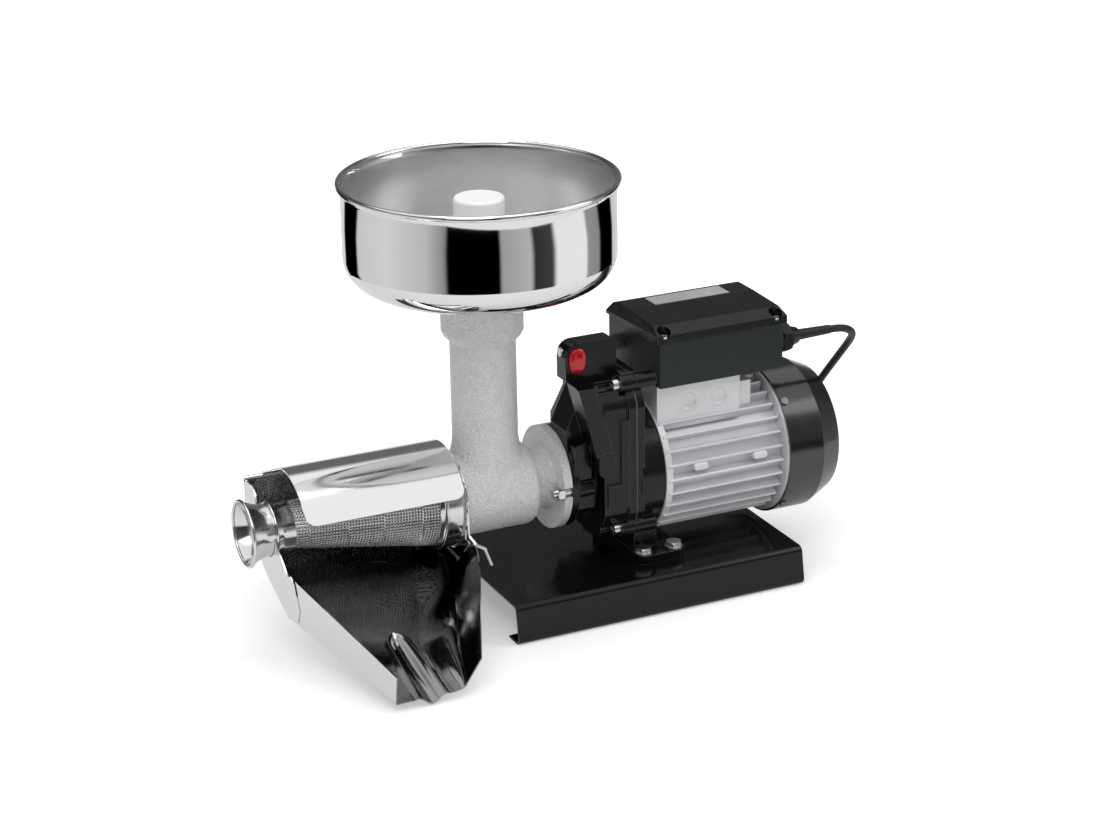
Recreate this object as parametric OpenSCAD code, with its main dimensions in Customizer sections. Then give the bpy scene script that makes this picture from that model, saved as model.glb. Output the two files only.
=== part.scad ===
// Electric tomato press: a geared motor on a sheet steel base turns an auger in a cast
// press body. Tomatoes go in at the hopper, juice runs through the perforated cone into
// the drip tray, and skins and seeds leave at the spout.
// Lengths in millimetres, +Z up, motor axis along X with the spout at -X and the drip
// tray at -Y. The origin is on the floor under the middle of the machine's own box.

/* [Layout] */
// Height of the motor and auger axis above the floor
axis_h = 110; // [106:1:120]
// From the feed tube's axis to the joint between press and gearbox
press_reach = 61.5; // [58:0.5:70]

/* [Base] */
// Length of the base along the motor axis
base_l = 280; // [260:1:320]
// Width of the base
base_w = 180; // [170:1:220]
// Height of the base's top face
base_h = 35; // [30:1:40]
// Thickness of the base's sheet
base_t = 2; // [1.5:0.1:3]
// Radius of the base's bends, to the middle of the sheet
base_bend = 5; // [4:0.5:8]
// Width of the return lips under the base
base_lip = 20; // [12:1:30]
// How far each side leans outward at the bottom
base_flare = 4; // [0:0.5:6]
// How far the base reaches past the feed tube's axis
base_reach = 14; // [5:1:20]
// Thickness of the motor foot
foot_t = 8; // [6:0.5:10]
// Length of the motor foot along the axis
foot_l = 45; // [42:1:60]
// Width of the motor foot
foot_w = 122; // [116:1:140]
// Spacing of the foot bolts along the axis
foot_bolt_x = 30; // [26:1:32]
// Spacing of the foot bolts across the axis
foot_bolt_y = 104; // [98:1:106]
// Thread diameter of the foot bolts
foot_bolt_d = 8; // [6:1:8]

/* [Press body] */
// Outer diameter of the feed tube
tube_d = 57; // [54:0.5:60]
// Bore of the feed tube
tube_bore = 49; // [46:0.5:50]
// Outer diameter of the collar under the hopper
collar_d = 71; // [68:0.5:76]
// Height of that collar
collar_h = 29.5; // [26:0.5:40]
// Height of the collar's top face above the floor
seat_h = 284; // [270:1:300]
// Outer diameter of the barrel
barrel_d = 74.6; // [73:0.2:78]
// Bore of the barrel
barrel_bore = 67; // [64:0.5:67.5]
// From the feed tube's axis to the barrel's open end
barrel_left = 53; // [50:1:60]
// From the feed tube's axis to the barrel's closed end
barrel_right = 37; // [35:0.5:40]
// Diameter of the neck between barrel and flange
neck_d = 52; // [46:1:56]
// Diameter of the flange
flange_d = 92; // [90:1:98]
// Thickness of the flange
flange_t = 7.5; // [6:0.5:9]
// Diameter of the clamp studs
stud_d = 8; // [6:1:9]
// Height of the flare where the feed tube meets the barrel
saddle_h = 46; // [36:1:52]

/* [Strainer] */
// Length of the perforated cone
cone_l = 134; // [125:1:140]
// Outer diameter of the cone at its wide end
cone_big_d = 82; // [80:0.5:84]
// Outer diameter of the cone at its narrow end
cone_small_d = 37; // [35:0.5:40]
// Thickness of the strainer's sheet
strainer_t = 1; // [0.8:0.1:1.2]
// Outer diameter of the strainer's collar
ring_d = 88; // [87:0.5:90]
// Length of the strainer's collar
ring_l = 12.5; // [11:0.5:16]
// Diameter of the spout's rim, to the middle of its bead
spout_d = 56; // [52:0.5:60]
// Length of the spout's flare
spout_l = 18; // [14:1:24]
// Diameter of the neck behind the spout
spout_neck_d = 45; // [42:0.5:48]
// Diameter of the beads at the spout and the neck
bead_d = 3; // [2:0.2:4]

/* [Auger] */
// Pitch of the auger's flight
auger_pitch = 28; // [24:1:34]
// Thickness of the flight
flight_t = 4; // [3:0.2:5]
// Diameter of the auger's core at the drive end
auger_core_d = 36; // [30:1:40]
// Diameter of the auger's core at the spout end
auger_tip_d = 18; // [14:1:20]
// Gap between the flight and what it turns in
auger_gap = 0.8; // [0.3:0.1:1.5]

/* [Drip tray] */
// Thickness of the tray's sheet
tray_t = 1.2; // [1:0.1:1.5]
// Width of the lip where the juice runs off
lip_w = 62; // [50:1:70]
// How far the lip stands in front of the motor axis
lip_reach = 163; // [150:1:175]
// Height of the tray's floor at the lip
lip_z = 8.5; // [6:0.5:10]
// Height of the left wall at the lip
lip_wall = 26; // [20:1:34]
// Height of the left wall where it meets the end plate
fold_wall = 40; // [34:1:44]
// Depth of the pressed gutter at the lip
gutter_depth = 7.6; // [3:0.2:8]
// Width of the gutter at the lip
gutter_w = 30; // [24:1:34]
// From the motor axis to the tray's rear wall
tray_back = 50; // [48:1:60]
// Height of the rear wall's top edge above the motor axis
tray_back_rise = 28; // [24:1:30]
// Diameter of the rolled edge on the rear wall
tray_hem_d = 5; // [3:0.5:6]

/* [Splash guard] */
// Radius of the guard's bend
guard_r = 52; // [50:0.5:54]
// Width of the guard's flat front
guard_flat = 17; // [12:1:22]
// Thickness of the guard's sheet
guard_t = 1.2; // [1:0.1:1.5]
// Length of the guard
guard_l = 142; // [130:1:148]

/* [Retaining spring] */
// Diameter of the spring wire
wire_d = 3; // [2.5:0.1:3.5]

/* [Hopper] */
// Outer diameter of the hopper's wall
hopper_d = 232; // [220:1:250]
// Diameter of the rolled rim, to its outside
rim_d = 240; // [228:1:258]
// Diameter of the rim's bead
rim_bead_d = 5; // [4:0.2:6]
// Height of the hopper from its seat to the rim's top
hopper_h = 106; // [90:1:120]
// Radius of the hopper's lower corner
hopper_corner = 26; // [20:1:30]
// Rise of the shallow cone from the neck to the corner
hopper_rise = 15; // [10:1:20]
// Thickness of the hopper's sheet
hopper_t = 1; // [0.8:0.1:1.5]
// Depth of the neck in the collar
hopper_neck = 24; // [16:1:28]

/* [Pusher] */
// Diameter of the pusher
pusher_d = 43.5; // [40:0.5:45]
// Length of the pusher
pusher_l = 230; // [210:1:260]

/* [Gearbox] */
// Gear module
gear_m = 1.25; // [1.2:0.01:1.3]
// Teeth of the motor's pinion
motor_teeth = 12; // [12:1:12]
// Teeth of the layshaft's gear
lay_gear_teeth = 48; // [48:1:48]
// Teeth of the layshaft's pinion
lay_pinion_teeth = 14; // [14:1:14]
// Teeth of the output gear
out_teeth = 46; // [46:1:46]
// Play between the teeth, for each gear
gear_play = 0.2; // [0.1:0.02:0.3]
// Width of the output gear
out_gear_w = 10; // [8:0.5:10.5]
// Width of the layshaft's gear
lay_gear_w = 8; // [6:0.5:8.5]
// Diameter of the output shaft
out_shaft_d = 20; // [18:0.5:22]
// Diameter of the layshaft
lay_shaft_d = 12; // [10:0.5:13]
// Half width of the gear case
case_half = 55; // [53:0.5:60]
// Height of the gear case's top face above the floor
case_top = 207; // [204:1:212]
// Height of the gear case's lower face above the floor
case_low = 60; // [58:0.5:64]
// Wall thickness of the castings
case_wall = 4.5; // [3.5:0.1:6]
// Width of the split flange on each casting
band_w = 7; // [6:0.5:9]
// Thickness of the gasket between the castings
gasket_t = 0.8; // [0.5:0.1:1.2]
// Thread diameter of the case screws
case_screw_d = 6; // [5:0.5:6]

/* [Motor] */
// Diameter over the housing's fins
fin_d = 126; // [122:1:132]
// Outer diameter of the housing between the fins
housing_d = 106; // [104:0.5:110]
// Bore of the housing
stator_d = 96; // [94:0.5:98]
// Length of the finned housing
housing_l = 118; // [112:1:126]
// Number of fins on a full turn
fin_turn = 30; // [24:1:32]
// Thickness of a fin
fin_t = 3; // [2.4:0.1:3.6]
// Length of the stator and rotor cores
core_l = 70; // [60:1:76]
// Bore of the stator core
stator_bore = 58; // [54:0.5:62]
// Air gap between rotor and stator
air_gap = 0.3; // [0.2:0.05:0.5]
// Diameter of the motor shaft
motor_shaft_d = 15; // [13:0.5:16]
// Diameter of the fan cover
cover_d = 138; // [134:0.5:144]
// Length of the fan cover's straight part
cover_l = 34; // [28:1:40]
// Length of the fan cover's tapered part
cover_taper = 24; // [18:1:28]
// Diameter of the fan cover's end
cover_end_d = 116; // [108:1:122]
// Thickness of the fan cover
cover_t = 1.8; // [1.4:0.1:2.5]

/* [Terminal box] */
// Length of the terminal box
box_l = 121; // [116:1:126]
// How far the terminal box reaches in front of the motor axis
box_front = 52; // [50:1:56]
// How far the terminal box reaches behind the motor axis
box_back = 47; // [45:1:54]
// Height of the box below its lid
box_h = 40; // [38:1:50]
// Height of the box's lower face above the floor
box_low = 193; // [190:1:196]
// Wall thickness of box and lid
box_t = 2.5; // [2:0.1:3]
// Height of the lid's straight rim
lid_rim = 8; // [6:0.5:10]
// Height of the lid's crown above its rim
lid_crown = 8.5; // [6:0.5:12]
// Size across the flats of the gland's nuts
gland_af = 24; // [22:0.5:27]
// How far the gland stands in front of the motor axis
gland_y = 32; // [24:1:36]
// Diameter of the capacitor
capacitor_d = 30; // [26:0.5:32]

/* [Switch] */
// Length of the switch box
switch_l = 48; // [46:1:52]
// Depth of the switch box
switch_w = 18; // [16:0.5:24]
// Height of the switch box
switch_h = 34; // [32:1:42]
// Wall thickness of the switch box
switch_t = 2; // [1.6:0.1:2.4]
// Width of the red button
button_w = 16; // [14:0.5:20]
// Height of the red button
button_h = 23; // [20:0.5:26]
// How far the red button stands out
button_out = 6; // [5:0.5:8]
// Travel of the red button
button_travel = 3; // [2:0.5:4]

/* [Mains lead] */
// Diameter of the mains lead
cord_d = 7; // [6:0.1:8]
// Length of the tapered boot at the gland
boot_l = 34; // [30:1:40]

/* [Hidden] */
$fn = 64;

// Clearances between pieces
run_gap = 0.05;
seat_gap = 0.3;
slip_gap = 0.2;

// Stations along the motor axis, from the feed tube's axis
flange_x = press_reach - flange_t;
case_x = press_reach;
hub_l = 31;
chamber_x = case_x + hub_l;
gear_room = 25;
split_x = chamber_x + gear_room;
shield_x = split_x + gasket_t;
shield_wall_x = shield_x + 4;
shield_end_x = shield_wall_x + 22.7;
housing_x = shield_end_x;
housing_end = housing_x + housing_l;
cover_x = housing_end + 2;
cover_end = cover_x + cover_l + cover_taper;
foot_x = shield_wall_x - 3;
base_x = -base_reach;

// Strainer stations, toward the spout
cone_x = -barrel_left - 2;
cone_tip_x = cone_x - cone_l;
neck_x = cone_tip_x - 11;
spout_x = neck_x - 4 - spout_l;
spout_end = spout_x - bead_d / 2;

// Colours
steel = "silver";
cast = [0.78, 0.78, 0.8];
black_paint = [0.05, 0.05, 0.06];
black_plastic = [0.1, 0.1, 0.11];
zinc = [0.75, 0.75, 0.72];
rubber = [0.15, 0.15, 0.15];

// Tray stations; the fold is where the left wall meets the end plate
tray_left = neck_x - 0.6 - bead_d / 2;
tray_right = cone_x + 16.8;
tray_fold_y = -48;
lip_left = tray_left + 47;
tray_top = axis_h + tray_back_rise;
tray_corner_r = 34;
fold_z = 48;
back_z = 96;
crest_z = 59;
wall_lean = 0.16;

// The machine's own box without the lead, which the origin is the middle of
box_x = [spout_end, cover_end];
box_y = [-lip_reach - lip_wall * wall_lean - tray_t / 6, rim_d / 2];
mid = [(box_x[0] + box_x[1]) / 2, (box_y[0] + box_y[1]) / 2];

function unit(v) = v / norm(v);
function flip(v) = [for (i = [len(v) - 1:-1:0]) v[i]];

// Points of an arc round c, from angle a0 to angle a1 in n steps
function arc(c, r, a0, a1, n = 8) =
    [for (i = [0:n]) let (a = a0 + (a1 - a0) * i / n) c + r * [cos(a), sin(a)]];

// Closed outline through [x, y, radius] corners, each rounded in n steps
function rounded(p, n = 5) = [for (i = [0:len(p) - 1])
    let (b = [p[i].x, p[i].y], a = p[(i + len(p) - 1) % len(p)], c = p[(i + 1) % len(p)],
        r = p[i][2], u = unit([a.x, a.y] - b), v = unit([c.x, c.y] - b),
        half = acos(max(-1, min(1, u * v))) / 2,
        o = b + unit(u + v) * r / sin(half), s = b + u * r / tan(half) - o,
        e = b + v * r / tan(half) - o, a0 = atan2(s.y, s.x),
        turn = atan2(s.x * e.y - s.y * e.x, s * e))
    for (k = [0:(r > 0 ? n : 0)]) r > 0
        ? o + r * [cos(a0 + turn * k / n), sin(a0 + turn * k / n)] : b];

function box_outline(w, h, r, n = 5) =
    rounded([[-w / 2, -h / 2, r], [w / 2, -h / 2, r], [w / 2, h / 2, r], [-w / 2, h / 2, r]], n);

// Line at distance d beside an open path
function beside(p, d) = [for (i = [0:len(p) - 1])
    let (u = i > 0 ? unit(p[i] - p[i - 1]) : unit(p[1] - p[0]),
        v = i < len(p) - 1 ? unit(p[i + 1] - p[i]) : u,
        n = [-u.y, u.x], m = [-v.y, v.x])
    p[i] + d * (n + m) / (1 + n * m)];

// Section of a sheet of thickness t along an open path
module sheet(p, t) polygon(concat(beside(p, t / 2), flip(beside(p, -t / 2))));

// Turns a shape's Z axis along the motor axis and moves its start to x
module along(x) translate([x, 0, axis_h]) rotate([0, 90, 0]) children();

// Disc or ring round the motor axis from x over a length l
module ring(x, l, d, bore = 0) along(x) difference() {
    cylinder(h = l, d = d, $fn = 96);
    if (bore > 0) translate([0, 0, -1]) cylinder(h = l + 2, d = bore, $fn = 96);
}

// Body of revolution round the motor axis through [radius, x] points
module lathe(p) along(0) rotate_extrude($fn = 96) polygon(p);

// Prism along X of a section drawn in Y and Z
module prism_x(x, l) translate([x, 0, 0]) rotate([90, 0, 90]) linear_extrude(l) children();

// Prism along Y of a section drawn in X and Z
module prism_y(y, l) translate([0, y + l, 0]) rotate([90, 0, 0]) linear_extrude(l) children();

// Solid through rings of points; each ring runs left round the way to the next
module ring_body(rings) {
    n = len(rings[0]);
    last = (len(rings) - 1) * n;
    polyhedron([for (r = rings) each r], concat(
        [[for (k = [0:n - 1]) k]], [[for (k = [n - 1:-1:0]) last + k]],
        [for (i = [0:len(rings) - 2], k = [0:n - 1]) let (a = i * n + k, b = i * n + (k + 1) % n)
            each [[a, a + n, b], [b, a + n, b + n]]]), 8);
}

// Round bar of diameter d swept along a path, n sides
function heading(p, i) = unit(p[min(i + 1, len(p) - 1)] - p[max(i - 1, 0)]);
module swept(p, d, n = 10) ring_body([for (i = [0:len(p) - 1])
    let (t = heading(p, i), u = unit(cross(t, [0.31, 0.17, 1])), v = cross(t, u))
        [for (k = [0:n - 1]) p[i] + d / 2 * (u * cos(k * 360 / n) + v * sin(k * 360 / n))]]);

// Path in space with its corners rounded to radius r
function round_path(p, r, n = 5) = concat([p[0]], [for (i = [1:len(p) - 2])
    let (u = unit(p[i - 1] - p[i]), v = unit(p[i + 1] - p[i]), half = acos(u * v) / 2,
        o = p[i] + unit(u + v) * r / sin(half), s = p[i] + u * r / tan(half) - o, e = p[i] + v * r / tan(half) - o,
        turn = acos(s * e / r / r)) each [for (k = [0:n])
            o + (s * sin(turn * (1 - k / n)) + e * sin(turn * k / n)) / sin(turn)]], [p[len(p) - 1]]);

// Hexagon head or nut along Z, af across its flats
module hexagon(af, h, chamfer = 0.12) intersection() {
    cylinder(h = h, d = af / cos(30), $fn = 6);
    rotate_extrude($fn = 32) polygon([[0, 0], [af * 0.5, 0], [af * 0.6, h * chamfer * 1.6],
        [af * 0.6, h * (1 - chamfer * 1.6)], [af * 0.5, h], [0, h]]);
}

// Hexagon screw along Z with its head on top of z = 0
module hex_screw(d, l, af, head) {
    hexagon(af, head);
    translate([0, 0, -l]) cylinder(h = l + 0.01, d = d, $fn = 32);
}

// Socket-head screw along Z with its head on top of z = 0
module cap_screw(d, l) difference() {
    union() {
        cylinder(h = d, d = d * 1.6, $fn = 32);
        translate([0, 0, -l]) cylinder(h = l + 0.01, d = d, $fn = 32);
    }
    translate([0, 0, d * 0.45]) cylinder(h = d, d = d * 0.95, $fn = 6);
}

module place() translate([-mid.x, -mid.y, 0]) children();

// Base

base_side = base_h - base_t / 2;
foot_holes = [for (i = [0, 1], s = [-1, 1])
    [foot_x + (foot_l - foot_bolt_x) / 2 - 0.5 + foot_bolt_x * i, s * foot_bolt_y / 2]];

// Half of the base's section, from the middle of the top to the end of the lip
function base_half(w = base_w / 2 - base_t / 2, low = base_t / 2) = concat(
    [[0, base_side], [w * 0.6, base_side]],
    arc([w - base_bend, base_side - base_bend], base_bend, 90, 0, 5),
    [[w + base_flare - 0.4, low + base_bend + 2]],
    arc([w + base_flare - base_bend, low + base_bend], base_bend, 0, -90, 5),
    [[w + base_flare - base_lip, low]]);

module base_plate() color(black_paint) place() difference() {
    prism_x(base_x, base_l) {
        sheet(base_half(), base_t);
        mirror([1, 0]) sheet(base_half(), base_t);
    }
    for (p = foot_holes) translate([p.x, p.y, base_h - base_t * 2])
        cylinder(h = base_t * 3, d = foot_bolt_d + 0.6, $fn = 32);
}

module base_bolts() color(zinc) place() for (p = foot_holes)
    translate([p.x, p.y, base_h + foot_t]) {
        hex_screw(foot_bolt_d, foot_t + base_t + foot_bolt_d + 1, foot_bolt_d * 1.6, foot_bolt_d * 0.66);
        difference() {
            cylinder(h = 1.6, d = foot_bolt_d * 2.05, $fn = 32);
            translate([0, 0, -1]) cylinder(h = 4, d = foot_bolt_d - 0.2, $fn = 32);
        }
    }

module base_nuts() color(zinc) place() for (p = foot_holes)
    translate([p.x, p.y, base_h - base_t - foot_bolt_d * 0.8]) difference() {
        hexagon(foot_bolt_d * 1.6, foot_bolt_d * 0.8);
        translate([0, 0, -1]) cylinder(h = foot_bolt_d + 2, d = foot_bolt_d + 2 * run_gap, $fn = 32);
    }

// Press body

stud_r = flange_d / 2 - stud_d / 2 - 1.5;
collar_bore = tube_bore + 9;
neck_seat = seat_h - hopper_neck - 2;
spigot_d = ring_d - 2 * strainer_t - 1;

// Ring of the flare; u runs from 1 in the barrel to 0 up on the feed tube
function saddle_ring(u) = [for (k = [0:35]) let (a = k * 10)
    [(tube_d / 2 - 0.3 + 15 * pow(u, 2.4)) * cos(a), (tube_d / 2 - 0.3 + 6 * pow(u, 2)) * sin(a),
        axis_h + 13 + saddle_h * (1 - u)]];

module press_body() color(cast) place() difference() {
    union() {
        rotate_extrude($fn = 96) polygon([[0, axis_h], [tube_d / 2, axis_h],
            [tube_d / 2, seat_h - collar_h - 7], [collar_d / 2 - 2, seat_h - collar_h - 2],
            [collar_d / 2, seat_h - collar_h + 2], [collar_d / 2, seat_h - 0.8],
            [collar_d / 2 - 0.8, seat_h], [0, seat_h]]);
        ring_body([for (u = [1:-0.125:0]) saddle_ring(u)]);
        lathe(concat([[0, -barrel_left], [spigot_d / 2, -barrel_left],
            [spigot_d / 2, 0.5 - barrel_left + ring_l], [barrel_d / 2, 2 - barrel_left + ring_l]],
            arc([barrel_d / 2 - 7, barrel_right - 7], 7, 0, 80, 5),
            [[neck_d / 2, barrel_right + 2], [neck_d / 2, flange_x - 4],
             [neck_d / 2 + 4, flange_x], [flange_d / 2, flange_x],
             [flange_d / 2, press_reach], [0, press_reach]]));
    }
    lathe([[0, -barrel_left - 1], [barrel_bore / 2, -barrel_left - 1],
        [barrel_bore / 2, barrel_right - 9], [out_shaft_d / 2 + run_gap, barrel_right - 9],
        [out_shaft_d / 2 + run_gap, press_reach + 1], [0, press_reach + 1]]);
    rotate_extrude($fn = 96) polygon([[0, axis_h], [tube_bore / 2, axis_h],
        [tube_bore / 2, neck_seat], [collar_bore / 2, neck_seat],
        [collar_bore / 2, seat_h - 3], [collar_bore / 2 + 4, seat_h + 1], [0, seat_h + 1]]);
    // Open slots for the clamp studs
    for (s = [-1, 1]) hull() for (r = [stud_r, flange_d]) translate([flange_x - 1, s * r, axis_h])
        rotate([0, 90, 0]) cylinder(h = flange_t + 2, d = stud_d + 1, $fn = 24);
}

module clamp_studs() color(zinc) place() for (s = [-1, 1])
    translate([flange_x - 10, s * stud_r, axis_h]) rotate([0, 90, 0])
        cylinder(h = flange_t + 24, d = stud_d, $fn = 32);

module clamp_nuts() color(zinc) place() for (s = [-1, 1])
    translate([flange_x - stud_d * 0.8, s * stud_r, axis_h]) rotate([0, 90, 0]) difference() {
        hexagon(stud_d * 1.6, stud_d * 0.8);
        translate([0, 0, -1]) cylinder(h = stud_d * 2, d = stud_d + 2 * run_gap, $fn = 32);
    }

// Gearbox

out_pitch = gear_m * out_teeth / 2;
lay_z = axis_h + gear_m * (lay_pinion_teeth + out_teeth) / 2;
pressure = 25;
addendum = 0.9;
dedendum = 1.25;
out_gear_x = chamber_x + 3;
lay_gear_x = split_x - lay_gear_w - 1.5;
hub_d = 76;
bearing_d = out_shaft_d + 22;
bearing_w = 12;
seal_w = 7;
boss_d = 14;
screw_y = case_half - 5;
screw_z = [case_low + 10, case_top - 3];
screw_x = split_x - 14;
shoulder = [28, 182];

// Outline of the gear case, t inside its outer face
function case_outline(t = 0) = let (w = case_half - t, r = max(2, 12 - t)) rounded([
    [-w + 13, case_low + t, r], [w - 13, case_low + t, r], [w, case_low + 26, r],
    [w, case_top - 20, r], [w - 16, case_top - t, r], [16 - w, case_top - t, r],
    [-w, case_top - 20, r], [-w, case_low + 26, r]], 3);

// What the sloping rear shoulder of the case leaves off, t inside its outer face
module off_shoulder(t = 0) prism_x(case_x, split_x - band_w - case_x)
    polygon([[shoulder.x - t, case_top + 9], [shoulder.x - t, shoulder.y - t / 3],
        [case_half + 9, shoulder.y - 1.3 * (case_half + 9 - shoulder.x) - 1.64 * t], [case_half + 9, case_top + 9]]);

module case_corners() for (s = [-1, 1], z = screw_z) translate([0, s * screw_y, z])
    rotate([0, 90, 0]) children();

// Lug for a clamp stud on the hub
module stud_lug() for (s = [-1, 1]) translate([case_x + 7, s * stud_r, axis_h])
    rotate([0, 90, 0]) cylinder(h = 13, d = stud_d * 1.9, $fn = 32);

// Sloping rib on the front of the case that ends in a round boss
module slanted_rib() {
    translate([0, -case_half - 3, 0]) prism_y(0, 6)
        polygon([[chamber_x - 30, case_top], [chamber_x - 13, axis_h + 32],
            [chamber_x + 3, axis_h + 34], [chamber_x - 14, case_top]]);
    translate([chamber_x - 3.5, -case_half + 2, axis_h + 25]) rotate([90, 0, 0]) rounded_post(16, 24, 6);
}

// Upright post along Z with a w by h outline
module rounded_post(w, h, l) linear_extrude(l) polygon(box_outline(w, h, w / 2 - 0.5, 5));

module gear_case() color(black_paint) place() difference() {
    union() {
        ring(case_x, 7, flange_d);
        ring(case_x, hub_l + 1, hub_d);
        difference() {
            prism_x(chamber_x - case_wall, gear_room + case_wall) polygon(case_outline());
            off_shoulder();
        }
        prism_x(split_x - band_w, band_w) polygon(case_outline(-3));
        // Wedge that leans toward the press under the switch box, and the gusset beside it
        prism_y(-case_half + 2, 21) polygon([[chamber_x - case_wall - 8, axis_h + 34],
            [chamber_x - 29, case_top], [chamber_x + 10, case_top], [chamber_x + 10, axis_h + 34]]);
        prism_y(-case_half + 22, 31) polygon([[case_x + 0.5, axis_h + 25],
            [case_x + 0.5, axis_h + flange_d / 2 + 6], [chamber_x - 15, case_top - 11],
            [chamber_x - 12, case_top - 4], [chamber_x + 10, case_top - 4], [chamber_x + 10, axis_h + 25]]);
        slanted_rib();
        stud_lug();
        // Lugs and panels on the front and the rear
        prism_y(-44, 10) polygon([[case_x + 3, axis_h + 9], [case_x + 3, axis_h + 40],
            [case_x + 14, axis_h + 43], [case_x + 19, axis_h + 36], [case_x + 19, axis_h + 9]]);
        for (s = [-1, 1]) translate([0, s * 39 - 5, 0]) prism_y(0, 10) polygon([[case_x + 7, axis_h - 18],
            [case_x + 7, axis_h + 7], [case_x + 22, axis_h + 7], [case_x + 22, axis_h - 18]]);
        for (s = [-1, 1]) translate([0, s * (case_half - 0.5) - 3, 0]) prism_y(0, 6)
            polygon([[chamber_x - 2, axis_h - 17], [chamber_x - 2, axis_h + 4], [chamber_x + 11, axis_h + 4],
                [chamber_x + 11, axis_h + 62], [split_x - 1, axis_h + 62], [split_x - 1, axis_h - 19]]);
        case_corners() translate([0, 0, screw_x]) cylinder(h = split_x - screw_x, d = boss_d, $fn = 32);
    }
    // Gear chamber, kept clear of the screw bosses
    difference() {
        prism_x(chamber_x, gear_room + 1) polygon(case_outline(case_wall));
        off_shoulder(case_wall);
        case_corners() translate([0, 0, chamber_x - 1]) cylinder(h = gear_room + 3, d = boss_d, $fn = 32);
    }
    lathe([[0, case_x - 1], [out_shaft_d / 2 + 6.5, case_x - 1], [out_shaft_d / 2 + 6.5, case_x + seal_w],
        [bearing_d / 2, case_x + seal_w], [bearing_d / 2, chamber_x + 1], [0, chamber_x + 1]]);
    translate([chamber_x - 9, 0, lay_z]) rotate([0, 90, 0])
        cylinder(h = 12, d = lay_shaft_d + 5, $fn = 48);
    for (s = [-1, 1]) translate([case_x - 1, s * stud_r, axis_h]) rotate([0, 90, 0])
        cylinder(h = 18, d = stud_d, $fn = 32);
    // Holes for the case screws and pockets for their heads
    case_corners() translate([0, 0, screw_x - 1]) cylinder(h = 20, d = case_screw_d + 0.4, $fn = 32);
    case_corners() translate([0, 0, chamber_x - 10])
        cylinder(h = screw_x - chamber_x + 10, d = case_screw_d * 1.6 + 1, $fn = 32);
}

module case_gasket() color([0.35, 0.3, 0.2]) place() difference() {
    prism_x(split_x, gasket_t) difference() {
        polygon(case_outline(-2.5));
        polygon(case_outline(case_wall));
    }
    case_corners() translate([0, 0, split_x - 1]) cylinder(h = gasket_t + 2, d = case_screw_d + 0.6, $fn = 32);
}

lantern_d = 120;
motor_boss_d = motor_shaft_d + 30;
motor_bearing_d = motor_shaft_d + 20;
motor_bearing_w = 11;
bearing_x = shield_wall_x + 5;

module drive_shield() color(black_paint) place() difference() {
    union() {
        prism_x(shield_x, band_w) polygon(case_outline(-3));
        difference() {
            ring(shield_wall_x, shield_end_x - shield_wall_x, lantern_d);
            ring(shield_wall_x + case_wall, shield_end_x, lantern_d - 2 * case_wall);
        }
        ring(shield_wall_x, bearing_x - shield_wall_x + motor_bearing_w, motor_boss_d);
        translate([shield_wall_x, 0, lay_z]) rotate([0, 90, 0])
            cylinder(h = 14, d = lay_shaft_d + 14, $fn = 48);
        case_corners() translate([0, 0, shield_x]) cylinder(h = 19, d = boss_d, $fn = 32);
        // Foot and its two webs
        translate([foot_x, 0, base_h]) linear_extrude(foot_t)
            translate([foot_l / 2, 0]) polygon(box_outline(foot_l, foot_w, 6, 3));
        for (s = [-1, 1]) prism_x(foot_x + 3, 22) polygon([[s * 28, base_h + foot_t - 1],
            [s * 42, base_h + foot_t - 1], [s * 42, axis_h - 40], [s * 25, axis_h - 45]]);
    }
    // Room for the layshaft's gear
    difference() {
        prism_x(shield_x - 1, 5) polygon(case_outline(case_wall));
        case_corners() translate([0, 0, shield_x - 2]) cylinder(h = 8, d = boss_d, $fn = 32);
    }
    ring(shield_x - 1, 60, motor_shaft_d + 4);
    ring(bearing_x, 60, motor_bearing_d);
    translate([shield_wall_x - 1, 0, lay_z]) rotate([0, 90, 0])
        cylinder(h = 12, d = lay_shaft_d + 5, $fn = 48);
    for (p = foot_holes) translate([p.x, p.y, base_h - 1])
        cylinder(h = foot_t + 2, d = foot_bolt_d + 0.6, $fn = 32);
    case_corners() translate([0, 0, shield_x - 1]) cylinder(h = 15, d = case_screw_d, $fn = 32);
}

module case_screws() color(zinc) place() case_corners() translate([0, 0, screw_x])
    rotate([180, 0, 0]) cap_screw(case_screw_d, split_x - screw_x + 12);

module shaft_seal() color(rubber) place()
    ring(case_x + 0.5, seal_w - 1, out_shaft_d + 13, out_shaft_d + 2 * run_gap);

module output_bearings() color(steel) place() for (i = [0, 1])
    ring(case_x + seal_w + i * bearing_w, bearing_w, bearing_d, out_shaft_d + 2 * run_gap);

// Half angle of a tooth of z teeth at radius r
function inv(a) = tan(a) * 180 / PI - a;
function tooth_half(z, r) = let (rp = gear_m * z / 2)
    90 / z - gear_play / (2 * rp) * 180 / PI + inv(pressure) - inv(acos(min(1, rp * cos(pressure) / r)));

// Outline of a spur gear of z teeth with its first tooth at angle a
function gear_outline(z, a) = let (rp = gear_m * z / 2, rf = rp - dedendum * gear_m,
        r0 = max(rf, rp * cos(pressure)), ra = rp + addendum * gear_m,
        flank = [for (i = [0:3]) r0 + (ra - r0) * i / 3],
        one = concat(rf < r0 ? [[rf, -tooth_half(z, r0)]] : [], [for (r = flank) [r, -tooth_half(z, r)]],
            [for (r = flip(flank)) [r, tooth_half(z, r)]], rf < r0 ? [[rf, tooth_half(z, r0)]] : []))
    [for (k = [0:z - 1], p = one) let (t = a + 360 * k / z + p[1]) p[0] * [cos(t), sin(t)]];

// Gear round an axis at height h above the motor axis, with a tooth or a gap toward it;
// the section's own X axis points down
module gear(x, h, w, z, a) translate([x, 0, axis_h + h]) rotate([0, 90, 0])
    linear_extrude(w) polygon(gear_outline(z, a));

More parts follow.
